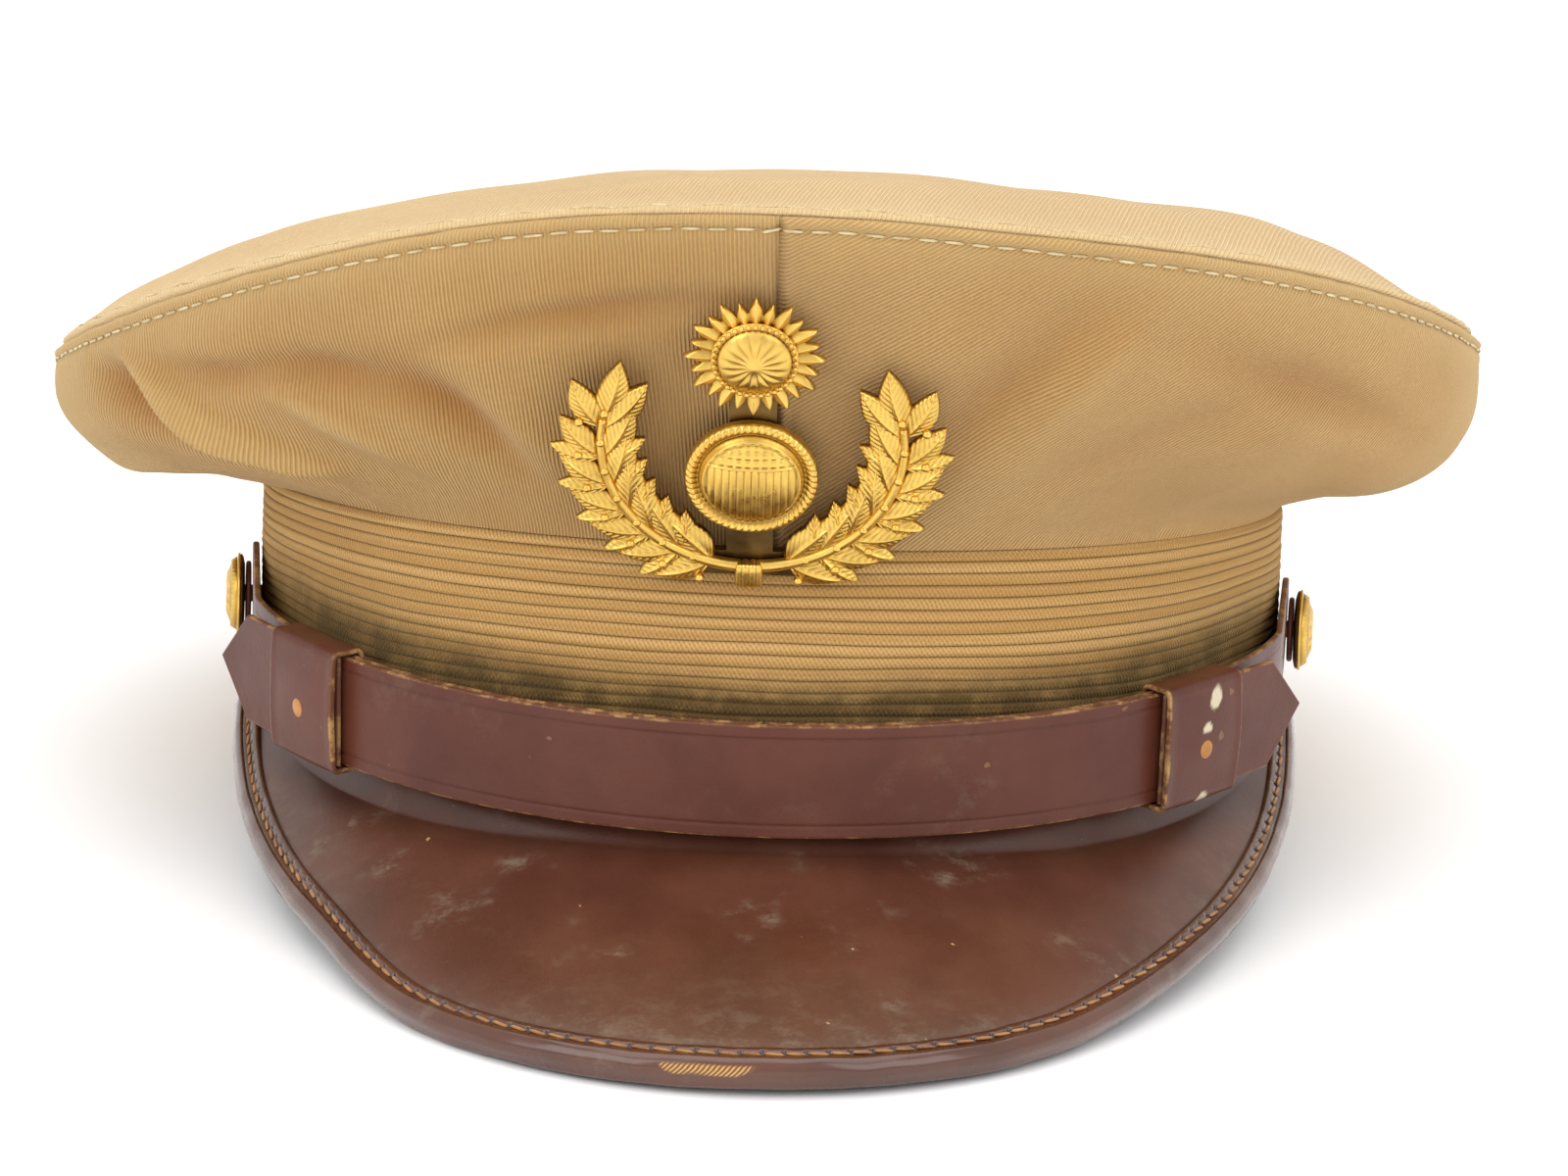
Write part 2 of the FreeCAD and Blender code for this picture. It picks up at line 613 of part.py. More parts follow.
def make_strap():
    """Two halves that overlap across the front; each goes up to a side button at one end."""
    half = size("strap_width") / 2
    leather = size("strap_leather")
    inner = size("strap_radius")
    outer = inner + leather + size("layer_gap")
    arc_end = 72.0
    join = 0.2
    butt_gap = 0.1
    cover_past_keeper = 4.5
    hole = size("post_diameter") + 0.6
    for side, sign in (("left", 1), ("right", -1)):
        spot = button_placement(side)
        facing = outward(math.radians(size("button_bearing")) * sign)
        bottom = STRAP_FRAME.inverse().multVec(spot.Base + facing * size("strap_stand_off"))
        start = outward(math.radians(arc_end)) * inner
        span = Vector(abs(bottom.x) - start.x, bottom.y - start.y, 0)
        heading = math.degrees(math.atan2(span.y, span.x))
        tongue = flat_end(tongue_outline(span.Length, bottom.z), arc_end, inner + leather, heading)
        arc = ring_sector(inner, inner + leather, -half, half, -butt_gap * sign, arc_end + join)
        shape = arc.fuse(tongue)
        if side == "right":
            shape = mirrored(shape)
        shape = place_strap_piece(shape)
        bore = Part.makeCylinder(hole / 2, 20.0, Vector(0, 0, -6.0), Vector(0, 0, 1))
        bore.Placement = spot.multiply(bore.Placement)
        shape_node("strap_inner_" + side, shape.cut(bore).Solids[0])
    cover = ring_sector(outer, outer + leather, -half, half,
                        -cover_past_keeper - size("keeper_bearing_right"),
                        size("keeper_bearing_left") + cover_past_keeper)
    shape_node("strap_outer", place_strap_piece(cover))


def strap_stack():
    """Inner and outer radius of the three leather layers that a keeper goes round."""
    inner = size("strap_radius")
    return inner, inner + 3 * size("strap_leather") + 2 * size("layer_gap")


def keeper_loop(label, side, sign):
    """A leather loop: a rounded frame section turned through the keeper's span."""
    clear = size("keeper_clearance")
    wall = size("keeper_leather")
    near = strap_stack()[0] - clear
    far = strap_stack()[1] + clear
    top = size("strap_width") / 2 + clear
    body = doc.addObject("PartDesign::Body", label)
    section = attached_sketch(body, label + "_section", "XZ_Plane")
    for grow, tag in ((0.0, "inside"), (wall, "outside")):
        corners = [(near - grow, -top - grow), (far + grow, -top - grow), (far + grow, top + grow),
                   (near - grow, top + grow)]
        lines = []
        for index, corner in enumerate(corners):
            following = corners[(index + 1) % 4]
            lines.append(section.addGeometry(Part.LineSegment(Vector(*corner, 0), Vector(*following, 0)),
                                             False))
        for index, line in enumerate(lines):
            section.addConstraint(Sketcher.Constraint("Coincident", line, 2, lines[(index + 1) % 4], 1))
        for line in (lines[0], lines[2]):
            section.addConstraint(Sketcher.Constraint("Horizontal", line))
        for line in (lines[1], lines[3]):
            section.addConstraint(Sketcher.Constraint("Vertical", line))
        space = "sizes.keeper_clearance"
        if grow:
            space += " + sizes.keeper_leather"
        near_expression = "sizes.strap_radius - (%s)" % space
        far_expression = ("sizes.strap_radius + 3 * sizes.strap_leather + 2 * sizes.layer_gap + (%s)"
                          % space)
        top_expression = "sizes.strap_width / 2 + (%s)" % space
        bind(section, Sketcher.Constraint("DistanceX", -1, 1, lines[0], 1, near - grow), tag + "_near",
             near_expression)
        bind(section, Sketcher.Constraint("DistanceX", -1, 1, lines[0], 2, far + grow), tag + "_far",
             far_expression)
        bind(section, Sketcher.Constraint("DistanceY", -1, 1, lines[2], 1, top + grow), tag + "_top",
             top_expression)
        bind(section, Sketcher.Constraint("DistanceY", lines[0], 1, -1, 1, top + grow), tag + "_bottom",
             top_expression)
    loop = body.newObject("PartDesign::Revolution", label + "_turn")
    loop.Profile = section
    loop.ReferenceAxis = (section, ["V_Axis"])
    loop.Angle = size("keeper_span")
    loop.setExpression("Angle", "sizes.keeper_span")
    loop.Midplane = True
    doc.recompute()
    corners = []
    for index, edge in enumerate(loop.Shape.Edges, start=1):
        box = edge.BoundBox
        middle = math.hypot(box.Center.x, box.Center.y)
        if abs(box.Center.z) > top + wall / 2 and box.ZLength < 0.01 and box.DiagonalLength > wall * 3:
            if middle < near or middle > far - 0.5:
                corners.append("Edge%d" % index)
    rounding = body.newObject("PartDesign::Fillet", label + "_rounding")
    rounding.Base = (loop, corners)
    rounding.Radius = wall * 0.9
    body.Tip = rounding
    turn = Rotation(Vector(0, 0, 1), sign * size("keeper_bearing_" + side) - 90)
    body.Placement = STRAP_FRAME.multiply(Placement(Vector(0, 0, 0), turn))
    return node(body, label)


def tab_outline():
    """The free end of the strap, cut to a point."""
    half = size("strap_width") / 2
    reach = size("tab_reach")
    points = [Vector(0, -half, 0), Vector(reach, -half, 0), Vector(reach + half, 0, 0),
              Vector(reach, half, 0), Vector(0, half, 0), Vector(0, -half, 0)]
    return Part.makePolygon(points)


def make_keepers():
    """The loops, the strap's pointed ends that come out of them, and their rivets."""
    start_inside, leave_after, join = 0.4, 0.5, 0.2
    spring_back = 4.0
    for side, sign in (("left", 1), ("right", -1)):
        keeper_loop("keeper_loop_" + side, side, sign)
        half = size("strap_width") / 2
        inner = strap_stack()[1] - size("strap_leather")
        start = size("keeper_bearing_" + side) - size("keeper_span") / 2 + start_inside
        leave = size("keeper_bearing_" + side) + size("keeper_span") / 2 + leave_after
        arc = ring_sector(inner, inner + size("strap_leather"), -half, half, start, leave + join)
        tip = flat_end(tab_outline(), leave, inner + size("strap_leather"), leave - spring_back)
        tab = arc.fuse(tip).removeSplitter()
        if side == "right":
            tab = mirrored(tab)
        shape_node("strap_tip_" + side, place_strap_piece(tab))
        make_rivet(side, sign)


def revolved(label, outline, placement):
    """A turned metal piece: a closed outline of (radius, height) points revolved about local Z."""
    body = doc.addObject("PartDesign::Body", label)
    sketch = attached_sketch(body, label + "_outline", "XZ_Plane")
    lines = []
    for index, corner in enumerate(outline):
        following = outline[(index + 1) % len(outline)]
        lines.append(sketch.addGeometry(Part.LineSegment(Vector(*corner, 0), Vector(*following, 0)), False))
    for index, line in enumerate(lines):
        sketch.addConstraint(Sketcher.Constraint("Coincident", line, 2, lines[(index + 1) % len(lines)], 1))
    for line in lines:
        sketch.addConstraint(Sketcher.Constraint("Block", line))
    turn = body.newObject("PartDesign::Revolution", label + "_turn")
    turn.Profile = sketch
    turn.ReferenceAxis = (sketch, ["V_Axis"])
    turn.Angle = 360.0
    body.Placement = placement
    return node(body, label)


def dome_points(radius, base, rise, count=7):
    """Points of a domed outline from the rim to the axis."""
    points = []
    for step in range(count):
        angle = math.pi / 2 * step / (count - 1)
        points.append((radius * math.cos(angle), base + rise * math.sin(angle)))
    points[-1] = (0.0, base + rise)
    return points


def make_rivet(side, sign):
    """The brass rivet through the keeper's outer wall."""
    wall = size("keeper_leather")
    far = strap_stack()[1] + size("keeper_clearance")
    bearing = math.radians(size("keeper_bearing_" + side)) * sign
    below_middle = 1.0
    head_radius, head_rise, shank = 1.9, 0.7, 0.9
    shank_end = -wall * 0.8
    seat = outward(bearing) * (far + wall) - Vector(0, 0, below_middle)
    turn = Rotation(Vector(0, 0, 1), outward(bearing))
    outline = dome_points(head_radius, 0.0, head_rise) + [(0.0, shank_end), (shank, shank_end), (shank, 0.0)]
    revolved("keeper_rivet_" + side, outline, STRAP_FRAME.multiply(Placement(seat, turn)))


# ---------------------------------------------------------------- side buttons

def make_buttons():
    """Each button's post runs through the strap and the band and is held inside by a nut."""
    radius = size("button_diameter") / 2
    post = size("post_diameter") / 2
    slack = 0.1
    strap_gap, washer, washer_gap = 0.3, 0.9, 0.2
    plate, plate_edge, shell_edge, dome_rise = 0.7, 0.5, 0.5, 2.0
    thread_past, nut_radius, nut_gap, spring_washer_radius = 1.7, 2.6, 0.65, 4.2
    inside = -(size("braid_thickness") + size("stiffener_thickness"))
    for side in ("left", "right"):
        seat = button_placement(side)
        strap_face = size("strap_stand_off") + size("strap_leather")
        washer_low = strap_face + strap_gap
        washer_high = washer_low + washer
        back = washer_high + washer_gap
        rim = back + plate
        revolved("button_leather_washer_" + side,
                 [(post + slack, washer_low), (radius * 0.8, washer_low), (radius * 0.8, washer_high),
                  (post + slack, washer_high)], seat)
        revolved("button_back_" + side,
                 [(0.0, back), (radius * 0.75, back), (radius * 0.97, back + plate_edge),
                  (radius * 0.97, rim), (0.0, rim)], seat)
        shell = [(0.0, rim), (radius, rim), (radius, rim + shell_edge)]
        shell += dome_points(radius * 0.9, rim + shell_edge + slack, dome_rise)
        revolved("button_shell_" + side, shell, seat)
        tip = inside - thread_past
        revolved("button_post_" + side, [(0.0, tip), (post, tip), (post, back), (0.0, back)], seat)
        nut_low, nut_high = tip + slack, inside - nut_gap
        revolved("button_nut_" + side,
                 [(post, nut_low), (nut_radius, nut_low), (nut_radius, nut_high), (post, nut_high)], seat)
        low, high = inside - nut_gap + slack, inside - slack
        revolved("button_washer_" + side,
                 [(post + slack, low), (spring_washer_radius, low), (spring_washer_radius, high),
                  (post + slack, high)], seat)


# ---------------------------------------------------------------- the badge

def leaf(length, width, thickness):
    """A pointed leaf lying along +X, with sides that slope up to a narrow crest."""
    wires = []
    for scale, level in ((1.0, 0.0), (0.45, thickness)):
        start = Vector(length * (1 - scale) * 0.5, 0, level)
        end = Vector(length * (1 + scale) * 0.5, 0, level)
        left = Vector(length / 2, width / 2 * scale, level)
        right = Vector(length / 2, -width / 2 * scale, level)
        wires.append(Part.Wire([Part.Arc(start, right, end).toShape(), Part.Arc(end, left, start).toShape()]))
    return Part.makeLoft(wires, True, True)


def spray(sign):
    """A laurel spray that sweeps up from the foot of the badge to one side."""
    radius, stem_radius = 22.5, 0.9
    foot, stem_sweep = -84.0, 92.0
    first_leaf, leaf_step, pairs = -76.0, 13.5, 7
    leaf_width, leaf_thickness, leaf_lift = 4.4, 1.5, 0.1
    middle = Vector(0, 0.5, 0)
    axis = Vector(0, 0, 1)
    stem = Part.makeTorus(radius, stem_radius, middle, axis, -180, 180, stem_sweep)
    stem.rotate(middle, axis, foot)
    above = Part.makeBox(80, 80, 2, Vector(-40, -40, 0))
    shape = stem.common(above)
    for step in range(pairs):
        turn = math.radians(first_leaf + leaf_step * step)
        base = middle + Vector(radius * math.cos(turn), radius * math.sin(turn), leaf_lift)
        for lean, length in ((34.0, 10.5), (-30.0, 9.0)):
            blade = leaf(length, leaf_width, leaf_thickness)
            blade.rotate(Vector(0, 0, 0), axis, math.degrees(turn) + 90 + lean)
            blade.translate(base)
            shape = shape.fuse(blade)
    end = math.radians(14) - 0.1
    tip = leaf(11.0, 4.6, leaf_thickness)
    tip.rotate(Vector(0, 0, 0), axis, 104)
    tip.translate(middle + Vector(radius * math.cos(end), radius * math.sin(end), leaf_lift))
    shape = shape.fuse(tip)
    if sign < 0:
        shape = mirrored(shape)
    return shape


def star_disc(centre, inner, outer, count, thickness):
    """A disc cut into rays."""
    points = []
    for index in range(2 * count):
        angle = math.pi * index / count
        radius = outer if index % 2 == 0 else inner
        points.append(centre + Vector(radius * math.sin(angle), radius * math.cos(angle), 0))
    points.append(points[0])
    return Part.Face(Part.makePolygon(points)).extrude(Vector(0, 0, thickness))


def badge_piece(label, shape):
    shape.Placement = BADGE_FRAME.multiply(shape.Placement)
    shape_node(label, shape)


def make_badge():
    """A plain domed boss under a sunburst, between two laurel sprays tied at the foot."""
    badge_piece("badge_spray_left", spray(1))
    badge_piece("badge_spray_right", spray(-1))
    slack = 0.05
    sun_level, sun_thickness = 16.2, 1.0
    badge_piece("badge_sunburst", star_disc(Vector(0, sun_level, 0), 8.0, 10.5, 24, sun_thickness))
    sun_seat = BADGE_FRAME.multiply(Placement(Vector(0, sun_level, sun_thickness + slack), Rotation()))
    revolved("badge_sun_dome", [(0.0, 0.0), (6.4, 0.0), (6.4, 0.5)] + dome_points(5.6, 0.5, 1.9), sun_seat)

    thickness = 1.2
    depth = -thickness - 2 * slack
    bar = Part.makeBox(7.0, 44.0, thickness, Vector(-3.5, -24.0, depth))
    foot = Part.makeBox(16.0, 4.5, thickness, Vector(-8.0, -24.5, depth))
    disc = Part.makeCylinder(8.5, thickness, Vector(0, BOSS_LEVEL, depth), Vector(0, 0, 1))
    badge_piece("badge_back_plate", disc.fuse([bar, foot]).removeSplitter())

    seat = BADGE_FRAME.multiply(Placement(Vector(0, BOSS_LEVEL, 0), Rotation()))
    rim = [(0.0, 0.0), (10.0, 0.0), (10.0, 1.4), (9.4, 2.0), (8.6, 1.4)]
    revolved("badge_boss", rim + dome_points(8.0, 1.2, 3.0), seat)
    badge_piece("badge_tie", Part.makeBox(4.0, 4.4, 2.4, Vector(-2.0, -25.4, slack)))
    post = size("post_diameter") / 2
    tip, head = -12.0, depth - slack
    revolved("badge_screw_post", [(0.0, tip), (post, tip), (post, head), (0.0, head)], seat)
    bore, nut_radius = post + size("running_clearance"), 5.0
    nut_low, nut_high = tip + 1.0, -8.8
    revolved("badge_nut",
             [(bore, nut_low), (nut_radius, nut_low), (nut_radius, nut_high), (bore, nut_high)], seat)


make_band()
make_crown()
make_visor()
make_strap()
make_keepers()
make_buttons()
make_badge()
doc.recompute()

# tip the cap back until it stands on its visor and on the rear of its band
TILT = Placement(Vector(0, 0, 0), Rotation(Vector(1, 0, 0), -size("rest_tilt")))
for item in NODES:
    item.Placement = TILT.multiply(item.Placement)
doc.recompute()
boxes = [item.Shape.optimalBoundingBox(False, False) for item in NODES]
floor = min(box.ZMin for box in boxes)
middle = (min(box.YMin for box in boxes) + max(box.YMax for box in boxes)) / 2
for item in NODES:
    item.Placement = Placement(Vector(0, -middle, -floor), Rotation()).multiply(item.Placement)
doc.recompute()

for item in doc.Objects:
    if "Invalid" in item.State or "Error" in item.State:
        raise RuntimeError("%s failed: %s" % (item.Name, item.State))
os.makedirs("parts", exist_ok=True)
for item in NODES:
    if item.Shape.isNull() or not item.Shape.isValid():
        raise RuntimeError("%s has no valid shape" % item.Label)
    item.Shape.exportStep("parts/%s.step" % item.Label)
print(len(NODES), "nodes, shift", round(-middle, 3), "lift", round(-floor, 3))
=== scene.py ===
"""Looks of an officer's peaked service cap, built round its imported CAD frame.

Every piece is drawn in the band frame, in millimetres, as the CAD draws it: the hat band stands
upright with its front edge at z = 0, visor toward -Y, wearer's left toward +X.  settle() then tips
it back onto its visor and gives metres.  Bearings are measured round the cap from the front.
"""
import json
import math

import bpy
import numpy as np
from mathutils import Matrix, Vector


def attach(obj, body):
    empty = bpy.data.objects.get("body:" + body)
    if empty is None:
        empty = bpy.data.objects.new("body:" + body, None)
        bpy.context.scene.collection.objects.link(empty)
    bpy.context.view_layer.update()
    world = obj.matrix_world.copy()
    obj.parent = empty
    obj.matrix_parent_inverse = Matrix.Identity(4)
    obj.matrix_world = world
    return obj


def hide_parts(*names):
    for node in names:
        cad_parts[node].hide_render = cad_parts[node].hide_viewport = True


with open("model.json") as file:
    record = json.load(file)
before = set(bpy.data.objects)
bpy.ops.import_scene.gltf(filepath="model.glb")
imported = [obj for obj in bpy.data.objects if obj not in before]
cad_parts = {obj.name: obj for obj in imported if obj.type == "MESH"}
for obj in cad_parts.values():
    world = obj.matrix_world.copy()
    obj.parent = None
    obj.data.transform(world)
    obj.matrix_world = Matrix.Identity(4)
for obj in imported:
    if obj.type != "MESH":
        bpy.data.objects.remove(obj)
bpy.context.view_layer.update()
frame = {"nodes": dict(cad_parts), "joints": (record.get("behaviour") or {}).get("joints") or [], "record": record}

MM = 0.001
REST_TILT = math.radians(7.15)
STRAP_ORIGIN = np.array([0.0, -23.0, 22.9])
UP = np.array([0, 0, 1.0])


# ================================================================== placing
def turned_about_x(points, angle):
    points = np.asarray(points, float)
    x, y, z = points[..., 0], points[..., 1], points[..., 2]
    cosine, sine = math.cos(angle), math.sin(angle)
    return np.stack([x, y * cosine - z * sine, y * sine + z * cosine], -1)


def find_shift():
    """Where the band frame stands: the keepers' hinge lies on the strap's axis in both frames."""
    joint = [j for j in frame["joints"] if j["name"] == "keeper_left_slide"][0]
    return np.array(joint["pos_m"]) / MM - turned_about_x(STRAP_ORIGIN, -REST_TILT)


SHIFT = find_shift()


def settle(points):
    """Band-frame millimetres to the row frame's metres."""
    return (turned_about_x(points, -REST_TILT) + SHIFT) * MM


class Seat:
    """A local frame inside the band frame: an origin and three axes."""

    def __init__(self, origin, x_axis, y_axis, z_axis):
        self.origin = np.asarray(origin, float)
        self.axes = np.array([x_axis, y_axis, z_axis], float)

    def place(self, points):
        return np.asarray(points, float) @ self.axes + self.origin

    def local(self, points):
        return (np.asarray(points, float) - self.origin) @ self.axes.T


def seat_about_x(origin, degrees):
    axes = turned_about_x(np.eye(3), math.radians(degrees))
    return Seat(origin, *axes)


STRAP_SEAT = seat_about_x(STRAP_ORIGIN, 8.0)
VISOR_SLOPE, ARCH = math.radians(27.5), 151.0
VISOR_SEAT = seat_about_x((0, -108.0, 0), 27.5)
BADGE_SEAT = seat_about_x((-3.0, -122.4, 62.5), 121.0)


def smooth(value, low, high):
    """An eased step: 0 below low and 1 above high."""
    ratio = np.clip((np.asarray(value, float) - low) / (high - low), 0.0, 1.0)
    return ratio * ratio * (3 - 2 * ratio)


def bump(value, centre, width):
    """A bell of height 1 about a centre."""
    return np.exp(-((np.asarray(value, float) - centre) / width) ** 2)


def ripple(points, seed, shortest, longest, count=16):
    """Soft uneven ground, about -1 to 1: sine waves through space in random directions."""
    random = np.random.default_rng(seed)
    total = 0.0
    for _ in range(count):
        heading = random.normal(size=3)
        heading /= np.linalg.norm(heading)
        length = random.uniform(shortest, longest)
        phase = random.uniform(0, 2 * math.pi)
        total = total + np.sin(points @ heading * (2 * math.pi / length) + phase)
    return total * (0.9 / math.sqrt(count))


def walk_along(points):
    """The length walked along a path to each of its points."""
    return np.concatenate([[0.0], np.cumsum(np.linalg.norm(np.diff(points, axis=0), axis=1))])


def unit(vectors):
    """The vectors at a length of 1."""
    return vectors / np.linalg.norm(vectors, axis=-1, keepdims=True)


def ring_steps(points, axis=0):
    """From each point's neighbour behind to its neighbour ahead, round a closed row."""
    return np.roll(points, -1, axis) - np.roll(points, 1, axis)


def pointing(angle):
    """Directions in a plane, by their angles from its first axis."""
    return np.stack([np.cos(angle), np.sin(angle)], -1)


def full_turn(count, start=0.0):
    """Angles evenly spaced round a whole turn."""
    return np.linspace(start, start + 2 * math.pi, count, endpoint=False)


def rounded_edge(beside, radius):
    """How far a rounded edge falls away from its flat face, by the distance in from the edge."""
    fall = np.maximum(radius - beside, 0)
    return radius - np.sqrt(np.maximum(radius ** 2 - fall ** 2, 0))


# ================================================================== meshes
def grid_corners(rows, columns, closed_rows, closed_columns):
    """The rows and the columns of the four corners of each quad in a grid."""
    row, column = np.meshgrid(np.arange(rows if closed_rows else rows - 1),
                              np.arange(columns if closed_columns else columns - 1), indexing="ij")
    row, column = row.ravel(), column.ravel()
    return (np.stack([row, row, row + 1, row + 1], 1),
            np.stack([column, column + 1, column + 1, column], 1))


def make_mesh(name, vertices, quads, uvs, polygons=(), fields=None):
    """An object of quads, and of any larger polygons, with a UV for each quad corner."""
    mesh = bpy.data.meshes.new(name)
    loops = np.concatenate([quads.ravel()] + [np.asarray(p, int) for p in polygons]).astype(np.int32)
    sizes = [4] * len(quads) + [len(p) for p in polygons]
    starts = np.concatenate([[0], np.cumsum(sizes)[:-1]]).astype(np.int32)
    mesh.vertices.add(len(vertices))
    mesh.vertices.foreach_set("co", settle(vertices).astype(np.float32).ravel())
    mesh.loops.add(len(loops))
    mesh.loops.foreach_set("vertex_index", loops)
    mesh.polygons.add(len(sizes))
    mesh.polygons.foreach_set("loop_start", starts)
    mesh.update(calc_edges=True)
    layer = mesh.uv_layers.new(name="UVMap")
    corners = np.zeros((len(loops), 2), np.float32)
    corners[:len(quads) * 4] = uvs.reshape(-1, 2) * MM
    layer.data.foreach_set("uv", corners.ravel())
    for field, values in (fields or {}).items():
        attribute = mesh.attributes.new(field, "FLOAT", "POINT")
        attribute.data.foreach_set("value", np.asarray(values, np.float32).ravel())
    mesh.polygons.foreach_set("use_smooth", np.ones(len(sizes), bool))
    mesh.validate()
    mesh.update()
    item = bpy.data.objects.new(name, mesh)
    bpy.context.scene.collection.objects.link(item)
    return item


def flat_uv(points, closed_columns=False):
    """UV in millimetres: walked along the middle row, and up the middle column."""
    rows, columns = points.shape[:2]
    middle = points[rows // 2]
    if closed_columns:
        middle = np.concatenate([middle, middle[:1]])
    return np.meshgrid(walk_along(middle), walk_along(points[:, columns // 2]))


def shell(name, outer, inner, closed_columns=False, uv=None, fields=None, twist=0.0):
    """A solid sheet between two grids of points [row, column], seen from outside on the first."""
    rows, columns = outer.shape[:2]
    count = rows * columns
    r, c = grid_corners(rows, columns, False, closed_columns)
    u, v = uv if uv is not None else flat_uv(outer, closed_columns)
    cosine, sine = math.cos(math.radians(twist)), math.sin(math.radians(twist))
    spread = np.stack([u * cosine + v * sine, v * cosine - u * sine], -1)
    face = r * columns + c % columns
    corner_uv = spread[r, c]
    quads, uvs = [face, face[:, ::-1] + count], [corner_uv, corner_uv[:, ::-1]]
    last = columns if closed_columns else columns - 1
    for row, order in ((0, 1), (rows - 1, -1)):
        a = row * columns + np.arange(last)
        b = row * columns + (np.arange(last) + 1) % columns
        side = np.stack([a, a + count, b + count, b], 1)[:, ::order]
        edge = np.stack([spread[row, :last], spread[row, :last], spread[row, 1:last + 1],
                         spread[row, 1:last + 1]], 1)[:, ::order]
        quads.append(side)
        uvs.append(edge)
    if not closed_columns:
        for column, order in ((0, -1), (columns - 1, 1)):
            a = np.arange(rows - 1) * columns + column
            b = a + columns
            quads.append(np.stack([a, a + count, b + count, b], 1)[:, ::order])
            uvs.append(np.stack([spread[:-1, column], spread[:-1, column], spread[1:, column],
                                 spread[1:, column]], 1)[:, ::order])
    both = {}
    for field, values in (fields or {}).items():
        values = np.broadcast_to(values, (rows, columns)).ravel()
        both[field] = np.concatenate([values, values])
    vertices = np.concatenate([outer.reshape(-1, 3), inner.reshape(-1, 3)])
    return make_mesh(name, vertices, np.concatenate(quads), np.concatenate(uvs), (), both)


def loft(name, points, closed_columns=False, fields=None, uv=None):
    """A solid tube: rows along its length, columns round its closed section."""
    rows, columns = points.shape[:2]
    r, c = grid_corners(rows, columns, closed_columns, True)
    quads = (r % rows) * columns + c % columns
    if uv is None:
        ring = np.concatenate([points[rows // 2], points[rows // 2, :1]])
        v = walk_along(points.mean(1))
        uv = np.meshgrid(walk_along(ring), np.concatenate([v, [2 * v[-1] - v[-2]]]))
    corner_uv = np.stack(uv, -1)[r, c]
    caps = []
    if not closed_columns:
        caps = [np.arange(columns)[::-1], (rows - 1) * columns + np.arange(columns)]
    flat = {field: np.broadcast_to(values, (rows, columns)) for field, values in (fields or {}).items()}
    return make_mesh(name, points.reshape(-1, 3), quads, corner_uv, caps, flat)


def tube(name, path, radius, sides, closed=False):
    """A round cord along a path of points."""
    path = np.asarray(path, float)
    tangent = unit(ring_steps(path) if closed else np.gradient(path, axis=0))
    guide = np.array([0.0, 0.0, 1.0]) if abs(tangent[:, 2]).max() < 0.9 else np.array([0.31, 0.9, 0.3])
    first = unit(np.cross(tangent, guide))
    second = np.cross(tangent, first)
    turn = full_turn(sides)
    radius = np.broadcast_to(radius, len(path))[:, None, None]
    ring = first[:, None] * np.cos(turn)[:, None] + second[:, None] * np.sin(turn)[:, None]
    return loft(name, path[:, None] + ring * radius, closed)


def turned_piece(name, outline, seat, sides=96, relief=None, field=None):
    """A metal piece turned about the seat's local Z from (radius, height) points, axis to axis."""
    outline = np.asarray(outline, float)
    turn = full_turn(sides)
    radius, height = np.broadcast_arrays(outline[:, :1], turn[None, :])[0], outline[:, 1:]
    height = np.broadcast_to(height, radius.shape).copy()
    if relief is not None:
        height = height + relief(radius, turn[None, :])
    points = np.stack([radius * np.cos(turn), radius * np.sin(turn), height], -1)
    fields = {"groove": field(radius, turn[None, :])} if field else None
    return loft(name, seat.place(points), False, fields)


def fine(outline, step=0.25):
    """Adds points along an outline's straight runs, no further apart than the step."""
    points = []
    for start, end in zip(outline[:-1], outline[1:]):
        start, end = np.array(start, float), np.array(end, float)
        count = max(1, int(np.linalg.norm(end - start) / step))
        points += [start + (end - start) * k / count for k in range(count)]
    points.append(np.array(outline[-1], float))
    return points


def capsules(name, centres, along, facing, length, radius, sides=8, rings=7, flatten=0.8):
    """Many short round-ended stitches in one mesh."""
    along = unit(along)
    across = unit(np.cross(along, facing))
    up = np.cross(across, along)
    turn = full_turn(sides)
    ramp = np.linspace(-1, 1, rings)
    girth = np.sqrt(np.clip(1 - np.abs(ramp) ** 4, 0.02, 1))
    length = np.broadcast_to(length, len(centres))
    spine = along[:, None, None] * (ramp[None, :, None, None] * length[:, None, None, None] / 2)
    ring = (across[:, None, None] * np.cos(turn)[None, None, :, None]
            + up[:, None, None] * (np.sin(turn) * flatten)[None, None, :, None])
    body = centres[:, None, None] + spine + ring * girth[None, :, None, None] * radius
    r, c = grid_corners(rings, sides, False, True)
    quad = r * sides + c % sides
    uv = np.stack([c * 0.4, r * 0.4], -1).astype(float)
    quads, uvs, caps = [], [], []
    for index in range(len(centres)):
        base = index * rings * sides
        quads.append(quad + base)
        uvs.append(uv)
        caps.append(base + np.arange(sides)[::-1])
        caps.append(base + (rings - 1) * sides + np.arange(sides))
    return make_mesh(name, body.reshape(-1, 3), np.concatenate(quads), np.concatenate(uvs), caps)


# ================================================================== finishes
def paint(red, green, blue):
    """A colour given as it looks on a screen, 0 to 255."""
    shares = [v / 255 for v in (red, green, blue)]
    linear = [((v + 0.055) / 1.055) ** 2.4 if v > 10 / 255 else v / 12.92 for v in shares]
    return (*linear, 1.0)


